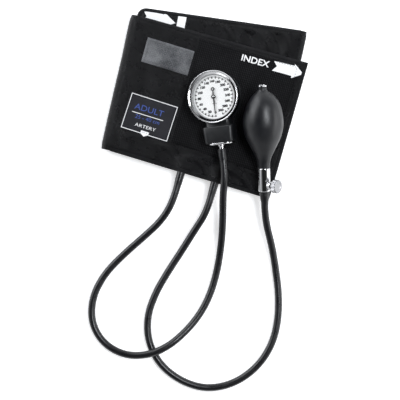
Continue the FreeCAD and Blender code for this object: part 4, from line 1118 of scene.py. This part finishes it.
drum = {
    "sections": [(-20.5, 26.0, 14.6, 4.0), (-29.6, 26.4, 15.0, 4.0), (-30.0, 26.8, 15.4, 4.0),
                 (-30.1, 31.0, 19.0, 3.4), (-30.5, 31.9, 19.7, 3.8), (-31.3, 32.2, 20.0, 3.8),
                 (-38.5, 31.2, 19.3, 3.7), (-46.1, 30.0, 18.5, 3.6), (-46.8, 29.5, 18.0, 3.4),
                 (-46.9, 28.6, 17.2, 3.2)],
    "base": [(-46.9, 26.6, 16.4, 8.0), (-47.2, 27.4, 17.2, 8.4), (-47.7, 27.6, 17.4, 8.5),
             (-48.3, 27.2, 17.0, 8.4), (-48.8, 26.0, 15.8, 7.8), (-49.15, 23.6, 13.4, 6.6),
             (-49.2, 8.0, 8.0, 3.9)],
}


# rounded rectangles (height, width, depth, corner) lofted along Z, closed at the last one
def blockMesh(sections, arc=8):
    points, faces = [], []
    for height, width, depth, corner in sections:
        for quarter in range(4):
            cx = (width / 2 - corner) * (1, -1, -1, 1)[quarter]
            cy = (depth / 2 - corner) * (1, 1, -1, -1)[quarter]
            for step in range(arc + 1):
                angle = math.pi / 2 * (quarter + step / arc)
                points.append((cx + corner * math.cos(angle), cy + corner * math.sin(angle), height))
    around = 4 * (arc + 1)
    for row in range(len(sections) - 1):
        for k in range(around):
            a, b = row * around + k, row * around + (k + 1) % around
            faces.append((a, a + around, b + around, b))
    faces.append(tuple(range((len(sections) - 1) * around, len(sections) * around)))
    return points, faces


drumShell = makePiece("drumShell", *blockMesh(drum["sections"]), casePaint, slot="case_paint",
                      place=drumFrame)
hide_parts("drum_housing")
drumBase = makePiece("drumBase", *blockMesh(drum["base"]), chrome, slot="chrome", place=drumFrame)
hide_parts("drum_base")
print("gauge dressed")


# bulb: a turned rubber pear with a faint mould line, and its inlet valve

bulb = {
    "outline": [(3.3, -37.5), (4.3, -37.55), (4.5, -37.2), (4.5, -34.6), (4.9, -33.2), (6.8, -31.7),
                (9.3, -29.9), (12.4, -26.8), (14.9, -23.3), (17.2, -19.0), (19.1, -13.5), (20.5, -6.5),
                (20.95, -1.0), (20.8, 3.0), (19.7, 9.5), (17.8, 15.5), (15.2, 21.0), (11.9, 27.5),
                (9.4, 32.2), (7.6, 36.5), (6.7, 40.3), (6.5, 43.0), (6.4, 45.9), (6.1, 46.45), (3.9, 46.5)],
    "lean": 0.9, "shoulderAt": -23, "shoulderLong": 11,
    "line": 0.16, "lineWidth": 0.35, "lineTurn": 35,
    "inletRim": [(3.1, -36.0), (3.2, -37.5), (4.45, -37.6), (4.7, -38.0), (4.55, -38.6), (4.1, -38.85),
                 (3.5, -38.8), (3.3, -38.4)],
}


# a fine raised line along both sides, where the mould's halves met
def mouldLine(radius, height, bearing):
    away = abs(math.sin(bearing - math.radians(bulb["lineTurn"]))) * radius
    rise = bulb["line"] * math.exp(-(away / bulb["lineWidth"]) ** 2)
    swell = 0.12 * noise.noise((height * 0.06, math.cos(bearing), math.sin(bearing)))
    ends = smoothStep((height + 36) / 6) * smoothStep((45 - height) / 6)
    shoulderShare = math.exp(-((height - bulb["shoulderAt"]) / bulb["shoulderLong"]) ** 2)
    shoulder = -bulb["lean"] * math.cos(bearing) * shoulderShare
    return radius + (rise + swell + shoulder) * ends


# cuts the corners of an outline again and again, keeping its ends
def smoothOutline(outline, rounds=2):
    for _ in range(rounds):
        cut = [outline[0]]
        for a, b in zip(outline, outline[1:]):
            cut.append(mixed(a, b, 0.25))
            cut.append(mixed(a, b, 0.75))
        cut.append(outline[-1])
        outline = cut
    return outline


points, faces = turnedMesh(smoothOutline(bulb["outline"]), 256, radiusAt=mouldLine)
bulbPiece = makePiece("bulbSkin", points, faces, bulbRubber, slot="black_rubber", place=bulbFrame)
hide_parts("bulb")
turnedPiece("inletRim", bulb["inletRim"], chrome, bulbFrame, 0.2, 64, slot="chrome")

# valve: turned body, packing nut and knurled knob

valve = {
    "body": [(3.9, 46.3), (5.9, 46.35), (6.35, 46.8), (6.4, 47.4), (6.4, 69.9), (6.2, 70.5), (5.8, 70.7),
             (2.6, 70.75)],
    "nut": [(2.05, 9.5), (3.7, 9.5), (4.2, 9.1), (4.3, 8.5), (4.3, 6.9), (3.9, 6.5), (3.6, 6.3), (3.6, 5.2)],
    "knob": [(2.05, 10.15), (3.7, 10.15), (3.95, 10.5), (4.1, 11.9), (6.1, 12.0), (6.7, 12.4), (7.0, 13.0),
             (7.0, 17.0), (6.8, 17.6), (6.3, 18.0), (4.5, 18.0), (4.2, 17.7), (3.4, 17.5), (0.0, 17.5)],
    "teeth": 28, "toothDepth": 0.42,
}


# rounded teeth on the knob's wide part only
def knurl(radius, height, bearing):
    share = smoothStep((radius - 6.0) / 0.6)
    return radius - valve["toothDepth"] * share * (0.5 + 0.5 * math.cos(bearing * valve["teeth"])) ** 2


valveBody = turnedPiece("valveShell", valve["body"], chrome, bulbFrame, 0.3, 128, slot="chrome")
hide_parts("valve_body")
packingNut = turnedPiece("packingNut", valve["nut"], chrome, screwFrame, 0.2, 96, slot="chrome")
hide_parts("packing_nut")
knob = turnedPiece("releaseKnob", valve["knob"], knurled, screwFrame, 0.25, 336, radiusAt=knurl,
                   body="release_knob", slot="chrome")
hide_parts("release_knob")

spring = {"coil": 1.9, "wire": 0.18, "from": 49.7, "to": 59.8, "turns": 6.0, "lift": 1.0}


# a round wire wound about Z, with flat ends
def coilMesh(settings, perTurn=28, sides=8):
    count = int(settings["turns"] * perTurn)
    points, faces = [], []
    for i in range(count + 1):
        angle = 2 * math.pi * i / perTurn
        out = Vector((math.cos(angle), math.sin(angle), 0))
        height = settings["from"] + (settings["to"] - settings["from"]) * i / count
        for k in range(sides):
            around = 2 * math.pi * k / sides
            points.append(out * (settings["coil"] + settings["wire"] * math.cos(around))
                          + Vector((0, 0, height + settings["wire"] * math.sin(around))))
    for i in range(count):
        for k in range(sides):
            a, b = i * sides + k, i * sides + (k + 1) % sides
            faces.append((a, b, b + sides, a + sides))
    faces.append(tuple(range(sides - 1, -1, -1)))
    faces.append(tuple(range(count * sides, (count + 1) * sides)))
    return points, faces


valveSpring = makePiece("valveSpring", *coilMesh(spring), steel, slot="steel", place=bulbFrame)
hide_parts("poppet_spring")
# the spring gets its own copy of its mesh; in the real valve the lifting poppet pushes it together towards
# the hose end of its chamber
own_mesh(valveSpring)
print("bulb and valve dressed")


# CAD parts that stay: each takes its own finish

finishes = {
    "gauge_case": casePaint, "lens_gasket": sealRubber, "spacer_ring": spacerPaint,
    "dial": dialPaint, "pointer": pointerPaint, "pinion_arbor": steel, "hairspring": steel,
    "sector_gear": brass, "sector_arbor": steel, "push_rod": steel, "movement_rear_plate": brass,
    "movement_front_plate": brass, "movement_pillars": brass, "movement_screws": steel, "capsule": brass,
    "capsule_stem": brass, "gauge_barb": chrome, "back_clip": steel,
    "clip_rivets": steel, "bladder": bladderRubber, "hook_panel": hookTape, "end_valve_body": chrome,
    "end_valve_screen": steel, "end_valve_disc": sealRubber, "outlet_poppet": sealRubber,
    "release_stem": steel,
}
for node, finish in finishes.items():
    kept = frame["nodes"][node]
    for index in range(len(kept.data.materials)):
        kept.data.materials[index] = finish
print("finishes given")


# stage: pale floor, wide soft light from the left, bright even surroundings

stage = {
    "floor": 6.0, "floorGlow": 0.50,
    "overhead": 0.03, "around": 1.4, "near": 0.45,    # glow of the surroundings
    "aim": (0.02, -0.09, 0.0),
    "lamps": {                                        # place, size, power, tint
        "keyLight": ((-1.25, 0.35, 0.62), (1.5, 0.8), 16.0, (0.95, 0.97, 1.0)),
        "stripLight": ((0.48, 0.24, 1.50), (0.9, 0.40), 17.0, (0.93, 0.96, 1.0)),
        "fillLight": ((1.2, 0.1, 0.35), (1.0, 0.35), 2.5, (1, 1, 1))},
}

floorMaterial = paintMaterial("paleFloor", (0.90, 0.90, 0.90), (0.93, 0.93, 0.93), 0.8, 0.0, 0.01, 40.0)
floorShader = floorMaterial.node_tree.nodes["Principled BSDF"]
floorShader.inputs["Emission Color"].default_value = (1, 1, 1, 1)
floorShader.inputs["Emission Strength"].default_value = stage["floorGlow"]
side = stage["floor"] / 2
floorMesh = bpy.data.meshes.new("floor")
below = -0.0002                                       # just under the lowest cloth
floorMesh.from_pydata([(-side, -side, below), (side, -side, below), (side, side, below),
                       (-side, side, below)], [], [(0, 1, 2, 3)])
floor = bpy.data.objects.new("floor", floorMesh)
bpy.context.scene.collection.objects.link(floor)
floorMesh.materials.append(floorMaterial)

world = bpy.data.worlds.new("surroundings")
bpy.context.scene.world = world
world.use_nodes = True
tree = world.node_tree
skyward = addNode(tree, "ShaderNodeTexCoord").outputs["Generated"]
direction = addNode(tree, "ShaderNodeSeparateXYZ", {0: skyward})
upward = addRange(tree, direction.outputs[2], stage["around"], stage["overhead"], 0.2, 0.75)
frontward = addRange(tree, direction.outputs[1], stage["near"], 1.0, -0.7, 0.2)
glow = addMath(tree, "MULTIPLY", upward, frontward)
tree.links.new(glow, tree.nodes["Background"].inputs["Strength"])
tree.nodes["Background"].inputs["Color"].default_value = (0.95, 0.97, 1.0, 1)


def addLamp(name, place, size, power, tint):
    lamp = bpy.data.objects.new(name, bpy.data.lights.new(name, "AREA"))
    bpy.context.scene.collection.objects.link(lamp)
    lamp.data.shape = "RECTANGLE"
    lamp.data.size, lamp.data.size_y = size
    lamp.data.energy = power
    lamp.data.color = tint
    lamp.location = place
    lamp.rotation_euler = (Vector(place) - Vector(stage["aim"])).to_track_quat("Z", "Y").to_euler()


for lampName, lampLooks in stage["lamps"].items():
    addLamp(lampName, *lampLooks)
bpy.context.scene.view_settings.view_transform = "Standard"
